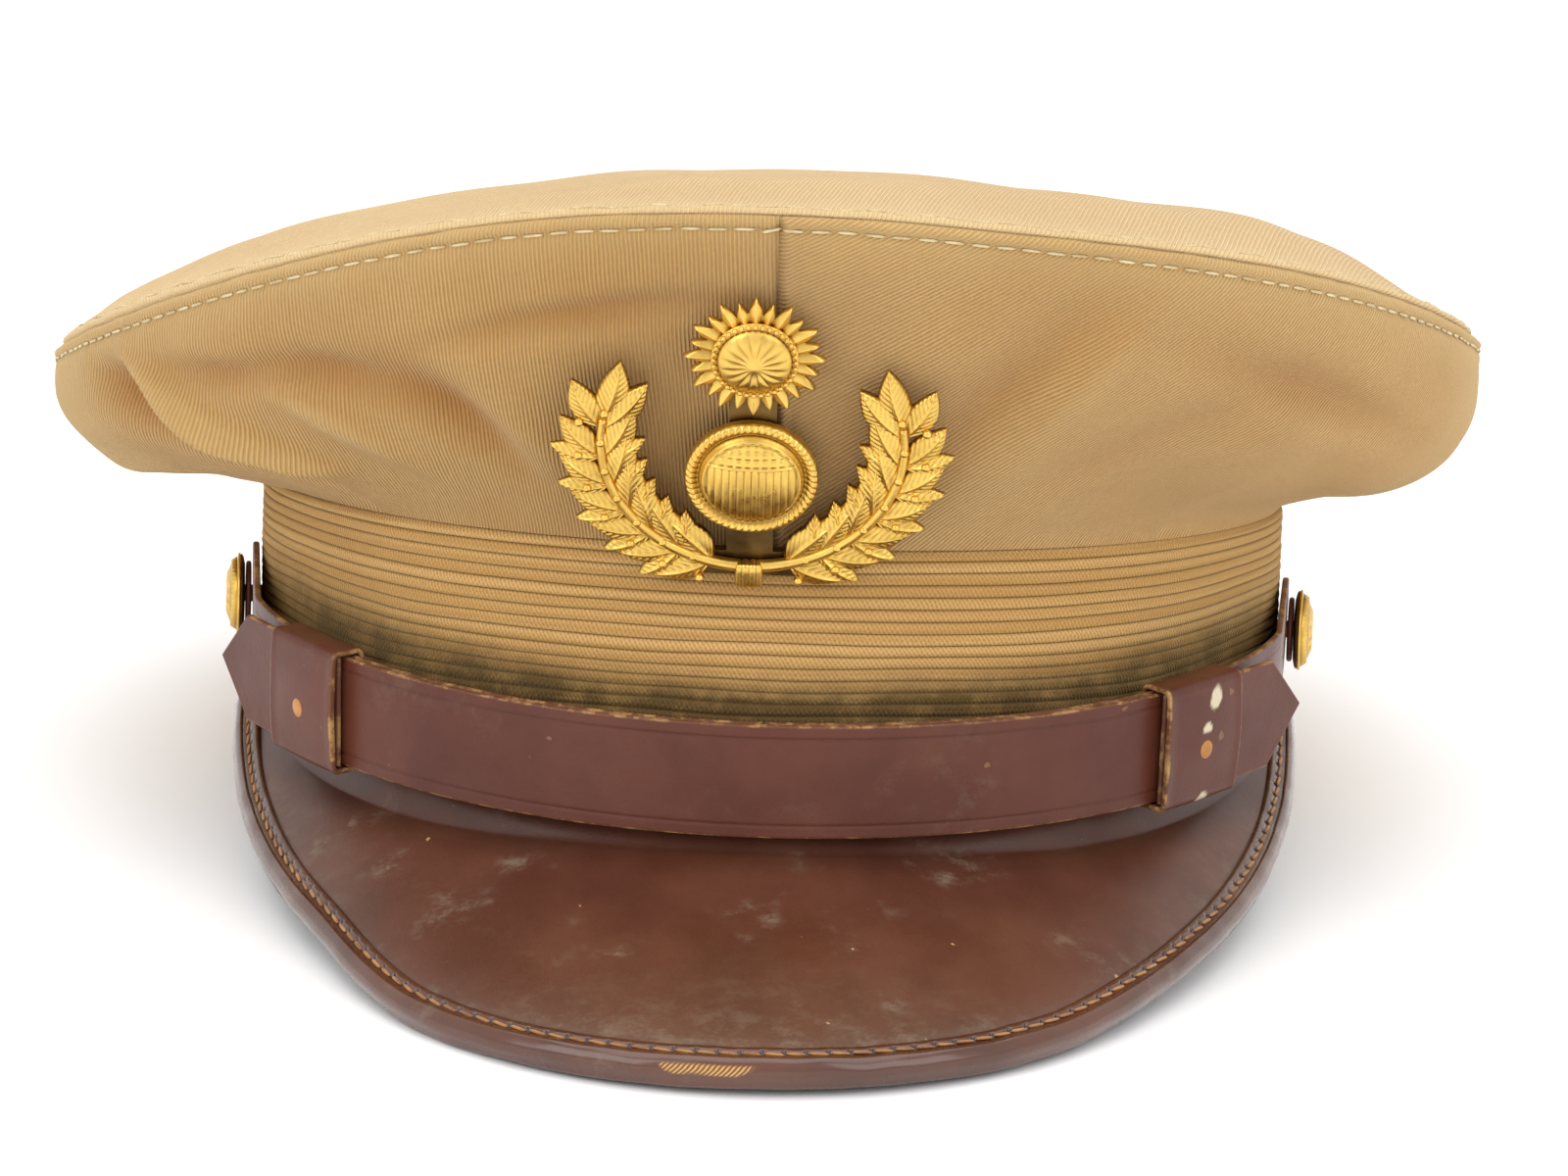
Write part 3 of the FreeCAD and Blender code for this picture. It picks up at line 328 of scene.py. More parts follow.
class Finish:
    """A material under construction: short calls that add shader nodes and return their outputs."""

    def __init__(self, name, **settings):
        self.material = bpy.data.materials.new(name)
        self.material.use_nodes = True
        self.tree = self.material.node_tree
        self.shader = [n for n in self.tree.nodes if n.type == "BSDF_PRINCIPLED"][0]
        for key, value in settings.items():
            self.shader.inputs[key.replace("_", " ")].default_value = value
        self.places = self.tree.nodes.new("ShaderNodeTexCoord")

    def put(self, socket, value):
        if isinstance(value, bpy.types.NodeSocket):
            self.tree.links.new(value, socket)
        else:
            socket.default_value = value

    def maths(self, operation, first, second=0.0):
        node = self.tree.nodes.new("ShaderNodeMath")
        node.operation = operation
        self.put(node.inputs[0], first)
        self.put(node.inputs[1], second)
        return node.outputs[0]

    def times(self, first, second):
        return self.maths("MULTIPLY", first, second)

    def plus(self, first, second):
        return self.maths("ADD", first, second)

    def wave(self, value, pitch):
        """A wave between 0 and 1 that repeats with the pitch, in metres."""
        angle = self.times(value, 2 * math.pi / pitch)
        return self.plus(self.times(self.maths("SINE", angle), 0.5), 0.5)

    def field(self, name):
        node = self.tree.nodes.new("ShaderNodeAttribute")
        node.attribute_name = name
        return node.outputs["Fac"]

    def uv(self, axis):
        node = self.tree.nodes.new("ShaderNodeSeparateXYZ")
        self.tree.links.new(self.places.outputs["UV"], node.inputs[0])
        return node.outputs[axis]

    def noise(self, scale, detail=2.0, roughness=0.5, stretch=None, on="Object"):
        source = self.places.outputs[on]
        if stretch is not None:
            mapping = self.tree.nodes.new("ShaderNodeMapping")
            mapping.inputs["Scale"].default_value = stretch
            self.tree.links.new(source, mapping.inputs["Vector"])
            source = mapping.outputs[0]
        node = self.tree.nodes.new("ShaderNodeTexNoise")
        self.tree.links.new(source, node.inputs["Vector"])
        node.inputs["Scale"].default_value = scale
        node.inputs["Detail"].default_value = detail
        node.inputs["Roughness"].default_value = roughness
        return node.outputs["Fac"]

    def cells(self, scale):
        node = self.tree.nodes.new("ShaderNodeTexVoronoi")
        self.tree.links.new(self.places.outputs["Object"], node.inputs["Vector"])
        node.inputs["Scale"].default_value = scale
        return node.outputs["Distance"]

    def ranged(self, value, low, high, to_low=0.0, to_high=1.0):
        node = self.tree.nodes.new("ShaderNodeMapRange")
        node.interpolation_type = "SMOOTHSTEP"
        self.put(node.inputs["Value"], value)
        sockets = "From Min", "From Max", "To Min", "To Max"
        for socket, number in zip(sockets, (low, high, to_low, to_high)):
            node.inputs[socket].default_value = number
        return node.outputs[0]

    def mixed(self, share, first, second):
        node = self.tree.nodes.new("ShaderNodeMix")
        node.data_type = "RGBA"
        self.put(node.inputs[0], share)
        self.put(node.inputs[6], first)
        self.put(node.inputs[7], second)
        return node.outputs[2]

    def relief(self, height, depth):
        node = self.tree.nodes.new("ShaderNodeBump")
        node.inputs["Distance"].default_value = depth
        node.inputs["Strength"].default_value = 1.0
        self.put(node.inputs["Height"], height)
        return node.outputs[0]

    def done(self, colour, roughness=None, normal=None):
        for name, value in (("Base Color", colour), ("Roughness", roughness), ("Normal", normal)):
            if value is not None:
                self.put(self.shader.inputs[name], value)
        return self.material


# the pitch of each weave's or cord's threads, and the depth of its relief, in metres
TWILL_PITCH, TWILL_DEPTH = 0.00066, 0.0003
BRAID_TWIST, BRAID_COUNTER, BRAID_DEPTH = 0.00072, 0.00105, 0.0002
WORN_THREADS, LEATHER_GRAIN = 0.00075, 0.00004


# the pale tone that the twill is turned toward: real bleaching, and on the top panel also a painted highlight for
# the light from above
BLEACHED_AND_TOP_LIGHT = 252, 236, 204


def twill_finish(name, bleach_and_top_light):
    """Cotton twill: fine cord-like ribs across U, with painted shade down between the ribs and in the dips of the
    folds, a painted highlight on the fold crests, paling at the rim and sides, soil and a dusty sheen.
    """
    f = Finish(name, Sheen_Weight=0.35, Sheen_Roughness=0.45, Sheen_Tint=paint(255, 236, 200),
               Specular_IOR_Level=0.2)

    def dyed(*tone):
        return paint(*(value * (1 - bleach_and_top_light) + pale * bleach_and_top_light for value, pale in zip(tone, BLEACHED_AND_TOP_LIGHT)))

    drift = f.times(f.noise(160.0, 2.0, on="UV"), 0.0003)
    ribs = f.wave(f.plus(f.uv("X"), drift), TWILL_PITCH)
    grain = f.noise(1500.0, 2.0, 0.6, stretch=(1.0, 0.8, 1.0), on="UV")
    height = f.plus(f.times(ribs, 0.8), f.times(grain, 0.55))
    pale, middle, rib_groove_shade = dyed(196, 158, 100), dyed(186, 145, 87), dyed(152, 111, 62)
    colour = f.mixed(f.ranged(f.noise(26.0, 3.0, 0.55), 0.3, 0.7), middle, pale)
    # painted shade: the twill is darker down between its ribs
    colour = f.mixed(f.ranged(height, 0.3, 0.95, 0.8, 0.0), colour, rib_groove_shade)
    stain = f.ranged(f.noise(60.0, 4.0, 0.6), 0.55, 0.76, 0.0, 0.28)
    colour = f.mixed(stain, colour, dyed(176, 124, 68))
    # painted shade: the cloth darkened in the hollows of its folds
    colour = f.mixed(f.times(f.field("fold_hollow_shade"), 0.6), colour, dyed(158, 108, 54))
    # paled by wear at the rim and at the sides, and a painted highlight on the crests of the folds
    colour = f.mixed(f.times(f.field("fade_and_crest_light"), 0.6), colour, dyed(202, 172, 116))
    soil = f.times(f.field("soil"), f.ranged(f.noise(95.0, 4.0, 0.65), 0.2, 0.7, 0.35, 1.0))
    colour = f.mixed(f.times(soil, 0.5), colour, dyed(128, 108, 78))
    return f.done(colour, 0.88, f.relief(height, TWILL_DEPTH))


def braid_finish(name):
    """Ribbed mohair braid: the ribs are in the mesh; this twists each into a cord, paints shade into its twists
    and the grooves between ribs, and soils it.
    """
    f = Finish(name, Sheen_Weight=0.3, Sheen_Roughness=0.4, Sheen_Tint=paint(255, 226, 160),
               Specular_IOR_Level=0.25)
    u, v = f.uv("X"), f.uv("Y")
    drift = f.times(f.noise(300.0, 2.0, on="UV"), 0.0006)
    along = f.plus(u, drift)
    twist = f.wave(f.plus(along, f.times(v, 0.55)), BRAID_TWIST)
    counter = f.wave(f.maths("SUBTRACT", along, f.times(v, 0.9)), BRAID_COUNTER)
    fibre = f.noise(3600.0, 3.0, 0.6, on="UV")
    height = f.plus(f.times(twist, 0.6), f.times(counter, 0.3))
    height = f.plus(height, f.times(fibre, 0.35))
    rows = f.noise(60.0, 2.0, 0.5, stretch=(0.12, 9.0, 1.0), on="UV")
    colour = f.mixed(f.ranged(rows, 0.35, 0.65), paint(184, 142, 82), paint(204, 164, 104))
    # painted shade: darker down in the cord's twists
    twist_groove_shade = f.times(f.ranged(height, 0.3, 0.8, 1.0, 0.0), 0.5)
    colour = f.mixed(twist_groove_shade, colour, paint(140, 98, 46))
    # painted shade in the narrow grooves between the ribs
    colour = f.mixed(f.times(f.field("groove"), 0.9), colour, paint(88, 58, 22))
    soil = f.times(f.field("soil"), f.ranged(f.noise(120.0, 4.0, 0.65), 0.2, 0.75, 0.5, 1.0))
    colour = f.mixed(f.times(soil, 0.75), colour, paint(92, 70, 36))
    return f.done(colour, 0.82, f.relief(height, BRAID_DEPTH))


def leather_finish(name, dark, light, gloss, coat, scuffs):
    """Smooth dressed leather: mottled dye, dusty scuffs, raw tan where its edges are worn, and painted shade in
    its grooves and needle holes and under the strap.
    """
    f = Finish(name, Coat_Weight=coat, Coat_Roughness=gloss, Specular_IOR_Level=0.22)
    mottle = f.ranged(f.noise(45.0, 4.0, 0.6), 0.3, 0.72)
    colour = f.mixed(mottle, dark, light)
    specks = f.ranged(f.noise(260.0, 6.0, 0.78, stretch=(0.7, 1.0, 1.0)), 0.45, 0.66)
    cloud = f.ranged(f.noise(58.0, 3.0, 0.6), 0.54, 0.7)
    smudged = f.times(f.times(cloud, specks), scuffs)
    dusty = f.times(f.field("dust"), f.plus(f.times(specks, 0.7), 0.3))
    dust = f.maths("MAXIMUM", dusty, smudged)
    colour = f.mixed(f.times(dust, 0.5), colour, paint(140, 128, 108))
    nick = f.times(f.ranged(f.noise(330.0, 2.0, 0.5), 0.75, 0.77), scuffs)
    colour = f.mixed(nick, colour, paint(186, 140, 94))
    ragged = f.times(f.field("edge"), f.ranged(f.noise(260.0, 5.0, 0.75), 0.46, 0.62, 0.12, 1.0))
    colour = f.mixed(ragged, colour, paint(184, 144, 92))
    # painted shade: the field groove darkens creases, needle holes, hem dents and the shadow under the strap
    colour = f.mixed(f.field("groove"), colour, paint(48, 26, 18))
    slant = f.wave(f.plus(f.uv("X"), f.uv("Y")), WORN_THREADS)
    cords = f.mixed(f.ranged(slant, 0.25, 0.75), paint(112, 70, 34), paint(204, 154, 84))
    colour = f.mixed(f.field("bare"), colour, cords)
    colour = f.mixed(f.field("flaked"), colour, paint(214, 202, 172))
    pores = f.cells(2600.0)
    height = f.plus(f.times(pores, 0.5), f.noise(900.0, 3.0, 0.6))
    threads = f.times(slant, f.field("bare"))
    height = f.plus(height, f.times(threads, 4.0))
    roughness = f.plus(f.ranged(f.noise(60.0, 4.0, 0.6), 0.3, 0.7, gloss + 0.05, gloss + 0.2),
                       f.times(f.maths("MAXIMUM", dust, ragged), 0.3))
    return f.done(colour, roughness, f.relief(height, LEATHER_GRAIN))


# shade is the colour of the real tarnish and of the painted shade in the recesses
def metal_finish(name, colour, shade, roughness, tarnish=0.35):
    """Metal with random tarnish, and painted shade in its recesses, given by the field groove."""
    f = Finish(name, Metallic=1.0)
    cloud = f.ranged(f.noise(160.0, 4.0, 0.6), 0.35, 0.7)
    tone = f.mixed(f.times(cloud, tarnish), colour, shade)
    # painted shade: darker in the recesses
    tone = f.mixed(f.times(f.field("groove"), 0.85), tone, shade)
    rough = f.ranged(f.noise(420.0, 3.0, 0.6), 0.3, 0.7, roughness - 0.05, roughness + 0.12)
    return f.done(tone, rough, f.relief(f.noise(1500.0, 2.0), 0.00002))


def cloth_finish(name, light, dark, pitch, depth=0.0001, sheen=0.2, roughness=0.8):
    """A plain weave of two crossing sets of threads, with painted shade in the gaps between them."""
    f = Finish(name, Sheen_Weight=sheen, Specular_IOR_Level=0.25)
    drift = f.times(f.noise(300.0, 2.0, on="UV"), pitch * 0.6)
    weave = f.times(*(f.wave(f.plus(f.uv(axis), drift), pitch) for axis in ("X", "Y")))
    colour = f.mixed(f.ranged(f.noise(40.0, 4.0, 0.6), 0.3, 0.7), dark, light)
    # painted shade: darker where the threads dip, between them
    colour = f.mixed(f.times(f.ranged(weave, 0.1, 0.6, 1.0, 0.0), 0.35), colour, dark)
    return f.done(colour, roughness, f.relief(weave, depth))


def thread_finish(name, light, dark):
    """Twisted sewing thread."""
    f = Finish(name, Sheen_Weight=0.3, Specular_IOR_Level=0.3)
    twist = f.wave(f.plus(f.uv("X"), f.uv("Y")), 0.0005)
    colour = f.mixed(f.ranged(f.noise(240.0, 3.0, 0.6), 0.35, 0.68), light, dark)
    return f.done(colour, 0.6, f.relief(twist, 0.00006))


def weave_coordinates(item):
    """CAD nodes have no UV: gives one, walked round the band and up it, so that a weave shows."""
    mesh = item.data
    if not mesh.uv_layers:
        mesh.uv_layers.new(name="UVMap")
    vertices = np.zeros(len(mesh.vertices) * 3, np.float32)
    mesh.vertices.foreach_get("co", vertices)
    vertices = vertices.reshape(-1, 3)
    corners = np.zeros(len(mesh.loops), np.int32)
    mesh.loops.foreach_get("vertex_index", corners)
    around = np.arctan2(vertices[:, 0], -vertices[:, 1]) * 0.1
    values = np.stack([around[corners], vertices[corners, 2]], -1)
    mesh.uv_layers[0].data.foreach_set("uv", values.astype(np.float32).ravel())


# each finish: what makes it, and its settings.  Cloth: light and dark dye, the dark one also painted
# as shade between the threads, thread pitch, relief, sheen, roughness.  Leather: dark and light
# dye, gloss, coat, scuffs.  Metal: its colour, the colour of its tarnish and painted recess shade,
# roughness, tarnish.
KINDS = {
    "twill": (twill_finish, 0.0),
    # the top panel: paler, partly from bleaching and partly as a painted highlight for the light from above
    "twill_light": (twill_finish, 0.32),
    "mohair_braid": (braid_finish,),
    "buckram": (cloth_finish, paint(214, 204, 180), paint(176, 162, 132), 0.0012, 0.0002),
    "lining_cloth": (cloth_finish, paint(196, 166, 112), paint(168, 136, 84), 0.0005, 0.00005, 0.4, 0.5),
    "spring_steel": (metal_finish, paint(170, 172, 176), paint(92, 90, 88), 0.35),
    "sweatband_leather": (leather_finish, paint(118, 70, 40), paint(146, 92, 54), 0.45, 0.15, 0.35),
    "visor_leather": (leather_finish, paint(78, 40, 26), paint(94, 54, 38), 0.28, 0.35, 1.0),
    "visor_board": (cloth_finish, paint(120, 104, 84), paint(92, 78, 60), 0.0009),
    "visor_underside": (leather_finish, paint(112, 82, 52), paint(134, 100, 66), 0.5, 0.1, 0.5),
    "binding_leather": (leather_finish, paint(74, 40, 26), paint(92, 54, 36), 0.14, 0.85, 0.5),
    "strap_leather": (leather_finish, paint(80, 38, 26), paint(94, 50, 36), 0.3, 0.14, 0.25),
    "brass": (metal_finish, paint(196, 140, 84), paint(128, 82, 44), 0.36, 0.5),
    "dark_brass": (metal_finish, paint(120, 96, 56), paint(60, 46, 28), 0.4, 0.6),
    "gilt_brass": (metal_finish, paint(230, 190, 98), paint(134, 98, 36), 0.3, 0.22),
}
FINISHES = {name: maker(name, *values) for name, (maker, *values) in KINDS.items()}
CREAM_THREAD = thread_finish("cream_thread", paint(226, 206, 158), paint(196, 168, 112))
GOLD_THREAD = thread_finish("gold_thread", paint(188, 130, 62), paint(140, 88, 38))
NODE_SLOT = {part["node"]: part["material_slot"] for part in frame["record"]["subparts"]}


def finish_piece(item, body, slot_name, *nodes, material=None):
    """Gives a built piece its finish, its body and the CAD nodes it stands for."""
    item.data.materials.clear()
    item.data.materials.append(material or FINISHES[slot_name])
    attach(item, body)
    if nodes:
        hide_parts(*nodes)


# ================================================================== the oval and the crown's shape
HALF_WIDTH, FRONT, REAR, SIDE_RADIUS = 89.4, 108.0, 104.0, 125.0
SIDE_OFFSET = SIDE_RADIUS - HALF_WIDTH
BAND_HEIGHT = 45.0


def arc_depth(extent):
    difference = SIDE_RADIUS - extent
    return (SIDE_OFFSET ** 2 - difference ** 2) / (2 * difference)


FRONT_DEPTH, REAR_DEPTH = arc_depth(FRONT), arc_depth(REAR)
FRONT_JOIN = math.atan2(SIDE_OFFSET, FRONT_DEPTH)
REAR_JOIN = math.pi - math.atan2(SIDE_OFFSET, REAR_DEPTH)


def outward(bearing):
    bearing = np.asarray(bearing, float)
    return np.stack([np.sin(bearing), -np.cos(bearing), np.zeros_like(bearing)], -1)


def oval(bearing, inset=0.0):
    """Points of the band's outer oval, moved inward by inset, that face the bearings."""
    bearing = np.asarray(bearing, float)
    turn = np.arctan2(np.sin(bearing), np.cos(bearing))
    front, rear = np.abs(turn) <= FRONT_JOIN, np.abs(turn) >= REAR_JOIN
    radius = np.where(front, FRONT - FRONT_DEPTH, np.where(rear, REAR - REAR_DEPTH, SIDE_RADIUS))
    x = np.where(front | rear, 0.0, -np.copysign(SIDE_OFFSET, turn))
    y = np.where(front, -FRONT_DEPTH, np.where(rear, REAR_DEPTH, 0.0))
    centre = np.stack([x, y, np.zeros_like(turn)], -1)
    return centre + outward(turn) * (radius - inset)[..., None]


def level(points, height):
    """The points raised by a height."""
    points = np.array(points, float)
    points[..., 2] += height
    return points


RIM_HALF_WIDTH, RIM_FRONT, RIM_REAR = 125.0, 141.0, 133.0
RIM_SIDE_HEIGHT, RIM_FRONT_RISE, RIM_REAR_DROP, RISE_POWER = 69.0, 28.5, 1.5, 1.7
DOME = 22.5
# worn lopsided: the wearer's left side is pushed in and up, and the right side sags
PUSHED_IN, PUSHED_UP, SAG = 4.0, 6.0, 4.0
# the curve of a slack side panel: where its low handle stands from the band (out and up) and its
# high handle from the rim (away and up), at the sides, and how much each moves toward the front
LOW_OUT, LOW_UP, HIGH_AWAY, HIGH_UP = 14.0, -6.0, 3.5, -25.0
FRONT_LOW_OUT, FRONT_LOW_UP, FRONT_HIGH_AWAY, FRONT_HIGH_UP = -9.0, 17.0, -13.5, 5.0
# a taut side leaves the band steeply and turns to the rim late: how far its curve moves for that,
# low on the panel and high on it, and how taut the right side is next to the left
TAUT_IN, TAUT_UP, TAUT_OUT, TAUT_DROP, RIGHT_TAUT = 12.0, 11.0, 4.0, 11.0, 0.45


def sides_of(bearing):
    """How far a bearing lies toward the wearer's left and right sides, 0 to 1."""
    return smooth(np.sin(bearing), 0.2, 1.0), smooth(-np.sin(bearing), 0.2, 1.0)


def rim_height(forward):
    """The even rim's height, by how far forward it is: 1 at the front and -1 at the rear."""
    rise = RIM_FRONT_RISE * np.maximum(0, forward) ** RISE_POWER
    return RIM_SIDE_HEIGHT + rise - RIM_REAR_DROP * np.maximum(0, -forward)


def rim(bearing):
    """The rim seam as worn."""
    forward, side = np.cos(bearing), np.sin(bearing)
    depth = np.where(forward > 0, RIM_FRONT, RIM_REAR)
    left, right = sides_of(bearing)
    z = rim_height(forward) + PUSHED_UP * left - SAG * right
    return np.stack([RIM_HALF_WIDTH * side - PUSHED_IN * left, -depth * forward, z], -1)


def flare(bearing, rise):
    """The side panels' smooth face: rise 0 is the band seam and 1 is the rim."""
    bearing, rise = np.broadcast_arrays(np.asarray(bearing, float), np.asarray(rise, float))
    start = level(oval(bearing, 0.3), BAND_HEIGHT + 0.4)
    end = rim(bearing)
    away = unit((end - start) * (1, 1, 0))
    front = (np.maximum(0, np.cos(bearing)) ** RISE_POWER)[..., None]
    left, right = (share[..., None] for share in sides_of(bearing))
    taut = left + RIGHT_TAUT * right
    first = start + outward(bearing) * (LOW_OUT + FRONT_LOW_OUT * front - TAUT_IN * taut)
    first = first + UP * (LOW_UP + FRONT_LOW_UP * front + TAUT_UP * taut)
    second = end + away * (HIGH_AWAY + FRONT_HIGH_AWAY * front + TAUT_OUT * taut)
    second = second + UP * (HIGH_UP + FRONT_HIGH_UP * front - TAUT_DROP * left)
    r = rise[..., None]
    s = 1 - r
    return start * s ** 3 + first * (3 * s * s * r) + second * (3 * s * r * r) + end * r ** 3


def surface_normal(points, closed_columns=False):
    """Outward normals of a grid whose rows go up and whose columns go round by bearing."""
    along = ring_steps(points, 1) if closed_columns else np.gradient(points, axis=1)
    normal = np.cross(along, np.gradient(points, axis=0))
    return normal / np.maximum(np.linalg.norm(normal, axis=-1, keepdims=True), 1e-9)


# the side panels' mean distance from the middle and their height along the cloth
PANEL_RADIUS, PANEL_HEIGHT = 112, 66
# the folds that show: bearing, rise, heading of the crest, half length, half width, height (mm)
FOLDS = [
    # the wearer's right side, where the cloth is crushed over a deep hollow
    (-52, 0.65, -60, 17, 3, 4), (-57, 0.65, -60, 16, 5.5, -6.5), (-50, 0.45, -30, 9, 3, 2),
    (-45, 0.75, -15, 17, 3.5, -2.5), (-40, 0.55, -60, 15, 4, 2), (-35, 0.65, -35, 12, 4.5, -2),
    (-28, 0.5, -60, 13, 5, -3), (-22, 0.4, -60, 12, 5, 1.5), (-15, 0.75, 5, 20, 2.5, -2),
    (-52, 0.65, -60, 15, 1.5, 2), (-75, 0.5, -20, 22, 6, 1.5), (-85, 0.35, -10, 22, 7, -2),
    # the wearer's left side
    (48, 0.75, -5, 25, 4.5, -2.5), (26, 0.65, 70, 20, 6, 1.5), (19, 0.6, 60, 18, 6.5, -2),
    (35, 0.5, 40, 20, 7, -1), (65, 0.55, -20, 22, 7, 1),
    # the rear
    (120, 0.45, 30, 28, 9, -2), (150, 0.55, 55, 26, 9, 1.5),
    (-120, 0.4, -30, 28, 8, -2.5), (-135, 0.55, -50, 24, 8, 1.5), (-160, 0.4, 60, 24, 9, -1.5),
]


def fold_relief(bearing, rise):
    """How far the cloth stands proud of, or sinks below, the smooth face."""
    total = np.zeros(np.broadcast(bearing, rise).shape)
    for place, middle, heading, length, width, height in FOLDS:
        gap = bearing - math.radians(place)
        across = np.arctan2(np.sin(gap), np.cos(gap)) * PANEL_RADIUS
        upward = (rise - middle) * PANEL_HEIGHT
        turn = math.radians(heading)
        along = across * math.cos(turn) + upward * math.sin(turn)
        beside = upward * math.cos(turn) - across * math.sin(turn)
        total = total + height * bump(along, 0, length) * bump(beside, 0, width)
    return total * smooth(rise, 0.0, 0.16) * (1 - smooth(rise, 0.84, 0.97))


def seam_roll(distance, depth, stitch=None, roll=0.28):
    """The profile beside a turned-in seam: a groove, a small roll and a dip at a stitch row."""
    profile = -depth * bump(distance, 0, 0.75) + roll * bump(distance, 1.7, 0.9)
    if stitch is not None:
        profile = profile - 0.28 * bump(distance, stitch, 0.55) + 0.1 * bump(distance, stitch + 1.6, 1.2)
    return profile


RIM_STITCH_SIDE, RIM_STITCH_TOP, RIM_ROLL, RIM_PITCH = 2.8, 2.4, 0.4, 3.9
RIM_MEAN_RADIUS, TOP_PUCKER = 118, 3.3
RIM_THREAD, HEM_THREAD, VISOR_THREAD = 0.24, 0.2, 0.27
TWILL_THICKNESS = 0.8
SEAMS = (0.0, math.pi / 2, math.pi, -math.pi / 2)


def side_face(bearing, rise):
    """The side panels' real face with its folds, seams and rim roll, and its outward normals."""
    base = flare(bearing, rise)
    normal = surface_normal(base)
    relief = fold_relief(bearing, rise)
    slack = smooth(rise, 0.02, 0.2) * (1 - smooth(rise, 0.86, 0.98))
    relief = relief + 0.42 * ripple(base, 5, 16, 42) * slack
    height = np.linalg.norm(np.diff(base, axis=0), axis=-1)
    down = np.concatenate([np.cumsum(height[::-1], axis=0)[::-1], np.zeros((1, base.shape[1]))])
    relief = relief + seam_roll(down, 1.1, RIM_STITCH_SIDE, RIM_ROLL)
    pucker = 0.12 * np.sin(bearing * RIM_MEAN_RADIUS / RIM_PITCH * 2) * bump(down, RIM_STITCH_SIDE, 2.2)
    relief = relief + pucker + 0.10 * ripple(base, 9, 5, 11) * (1 - smooth(down, 3, 12))
    for seam in SEAMS:
        gap = np.arctan2(np.sin(bearing - seam), np.cos(bearing - seam))
        beside = np.abs(gap) * np.hypot(base[..., 0], base[..., 1])
        relief = relief + seam_roll(beside, 0.9) * (1 - smooth(rise, 0.97, 1.0))
    return base + normal * relief[..., None], normal


def graded(start, end, count, crowd_start=0.0, crowd_end=0.0):
    """Numbers from start to end that lie closer together at the crowded ends."""
    t = np.linspace(0, 1, count)
    density = 1 + crowd_start * np.exp(-t * 14) + crowd_end * np.exp(-(1 - t) * 14)
    walk = np.concatenate([[0.0], np.cumsum(2 / (density[1:] + density[:-1]))])
    return start + (end - start) * walk / walk[-1]


# ================================================================== the crown
def rim_direction(bearing):
    """Straight out of the rim's seam."""
    here = rim(bearing)
    ahead = rim(np.asarray(bearing) + 0.01) - rim(np.asarray(bearing) - 0.01)
    out = np.cross(ahead, UP)
    out = out * np.sign((out * here).sum(-1, keepdims=True))
    return unit(unit(out) + 0.3 * UP)


def tucked(normal, bearing, to_rim):
    """Normals turned straight out of the rim's seam, where the cloth is turned in."""
    tuck = bump(to_rim, 0, 0.8)[..., None]
    return normal * (1 - tuck) + rim_direction(bearing) * tuck


def cut_flat(base, bearing, middle):
    """Where the points of a side panel lay before sewing, with the panels taken as parts of a cone."""
    apex, around = 130.0, 0.715
    reach = apex + walk_along(base[:, base.shape[1] // 2])[:, None]
    turn = around * (bearing - middle)
    return reach * np.sin(turn), reach * np.cos(turn)


def crown_quarter(side, quarter, twist):
    """One side panel: the quarter turn that starts at this many quarters from the front."""
    first, last = quarter * math.pi / 2, (quarter + 1) * math.pi / 2
    columns = np.concatenate([graded(first, (first + last) / 2, 130, crowd_start=5),
                              graded((first + last) / 2, last, 130, crowd_end=5)[1:]])
    bearing, rise = np.meshgrid(columns, graded(0.0, 1.0, 150, crowd_end=6))
    face, normal = side_face(bearing, rise)
    base = flare(bearing, rise)
    to_rim = np.linalg.norm(base - base[-1], axis=-1)
    normal = tucked(normal, bearing, to_rim)
    outer = base + normal * ((face - base) * surface_normal(base)).sum(-1, keepdims=True)
    inner = outer - normal * TWILL_THICKNESS
    seam_soil = 0.3 * bump(bearing * 110, 0, 3.0) * smooth(rise, 0.3, 0.9)
    badge_gap = np.hypot(outer[..., 0] + 3, (outer[..., 2] - 64) * 1.05)
    soil = np.where(np.cos(bearing) > 0, 0.4 * (1 - smooth(badge_gap, 22, 36)), 0) + seam_soil
    folds = fold_relief(bearing, rise)
    fade_and_crest_light = 0.7 * bump(to_rim, 0, 6.0) + smooth(np.abs(np.sin(bearing)), 0.88, 1.0) * 0.6
    # painted highlight: lighter on the crests of the folds
    fade_and_crest_light = fade_and_crest_light + 0.5 * np.clip(folds - 0.8, 0, 1)
    # painted shade for the hollows of the folds
    fold_hollow_shade = np.clip(-folds / 2.4, 0, 1.4)
    middle = 0.0 if "front" in side else math.copysign(math.pi, first + last)
    item = shell("crown_cloth_" + side, outer, inner, uv=cut_flat(base, bearing, middle), twist=twist,
                 fields={"soil": np.clip(soil, 0, 1), "fade_and_crest_light": np.clip(fade_and_crest_light, 0, 1), "fold_hollow_shade": fold_hollow_shade})
    finish_piece(item, "cap", "twill", "crown_quarter_" + side)


def top_shape(turn, share):
    """The top panel's even dome, from its middle (share 0) to the rim (share 1)."""
    forward = np.cos(turn)
    length = np.where(forward > 0, RIM_FRONT, RIM_REAR)
    x, y = RIM_HALF_WIDTH * np.sin(turn) * share, -length * forward * share
    swell = DOME + np.where(y < 0, 6.5 * np.tanh(-y / 60), -0.12 * y)
    inside = 1 - share ** 2
    z = rim_height(-y / length) + swell * inside * (1.45 - 0.45 * inside)
    return np.stack([x, y, z], -1)


def top_sheet(name, outer, inner, base, **rest):
    """A sheet across the crown's top, with its weave laid straight from side to side.  Its rows run
    from the middle out: turning them round puts the cloth's outer side on the outside."""
    wrap = np.concatenate([base, base[:, :1]], 1)[::-1]
    return shell(name, outer[::-1], inner[::-1], True, uv=(wrap[..., 0], wrap[..., 1]), **rest)


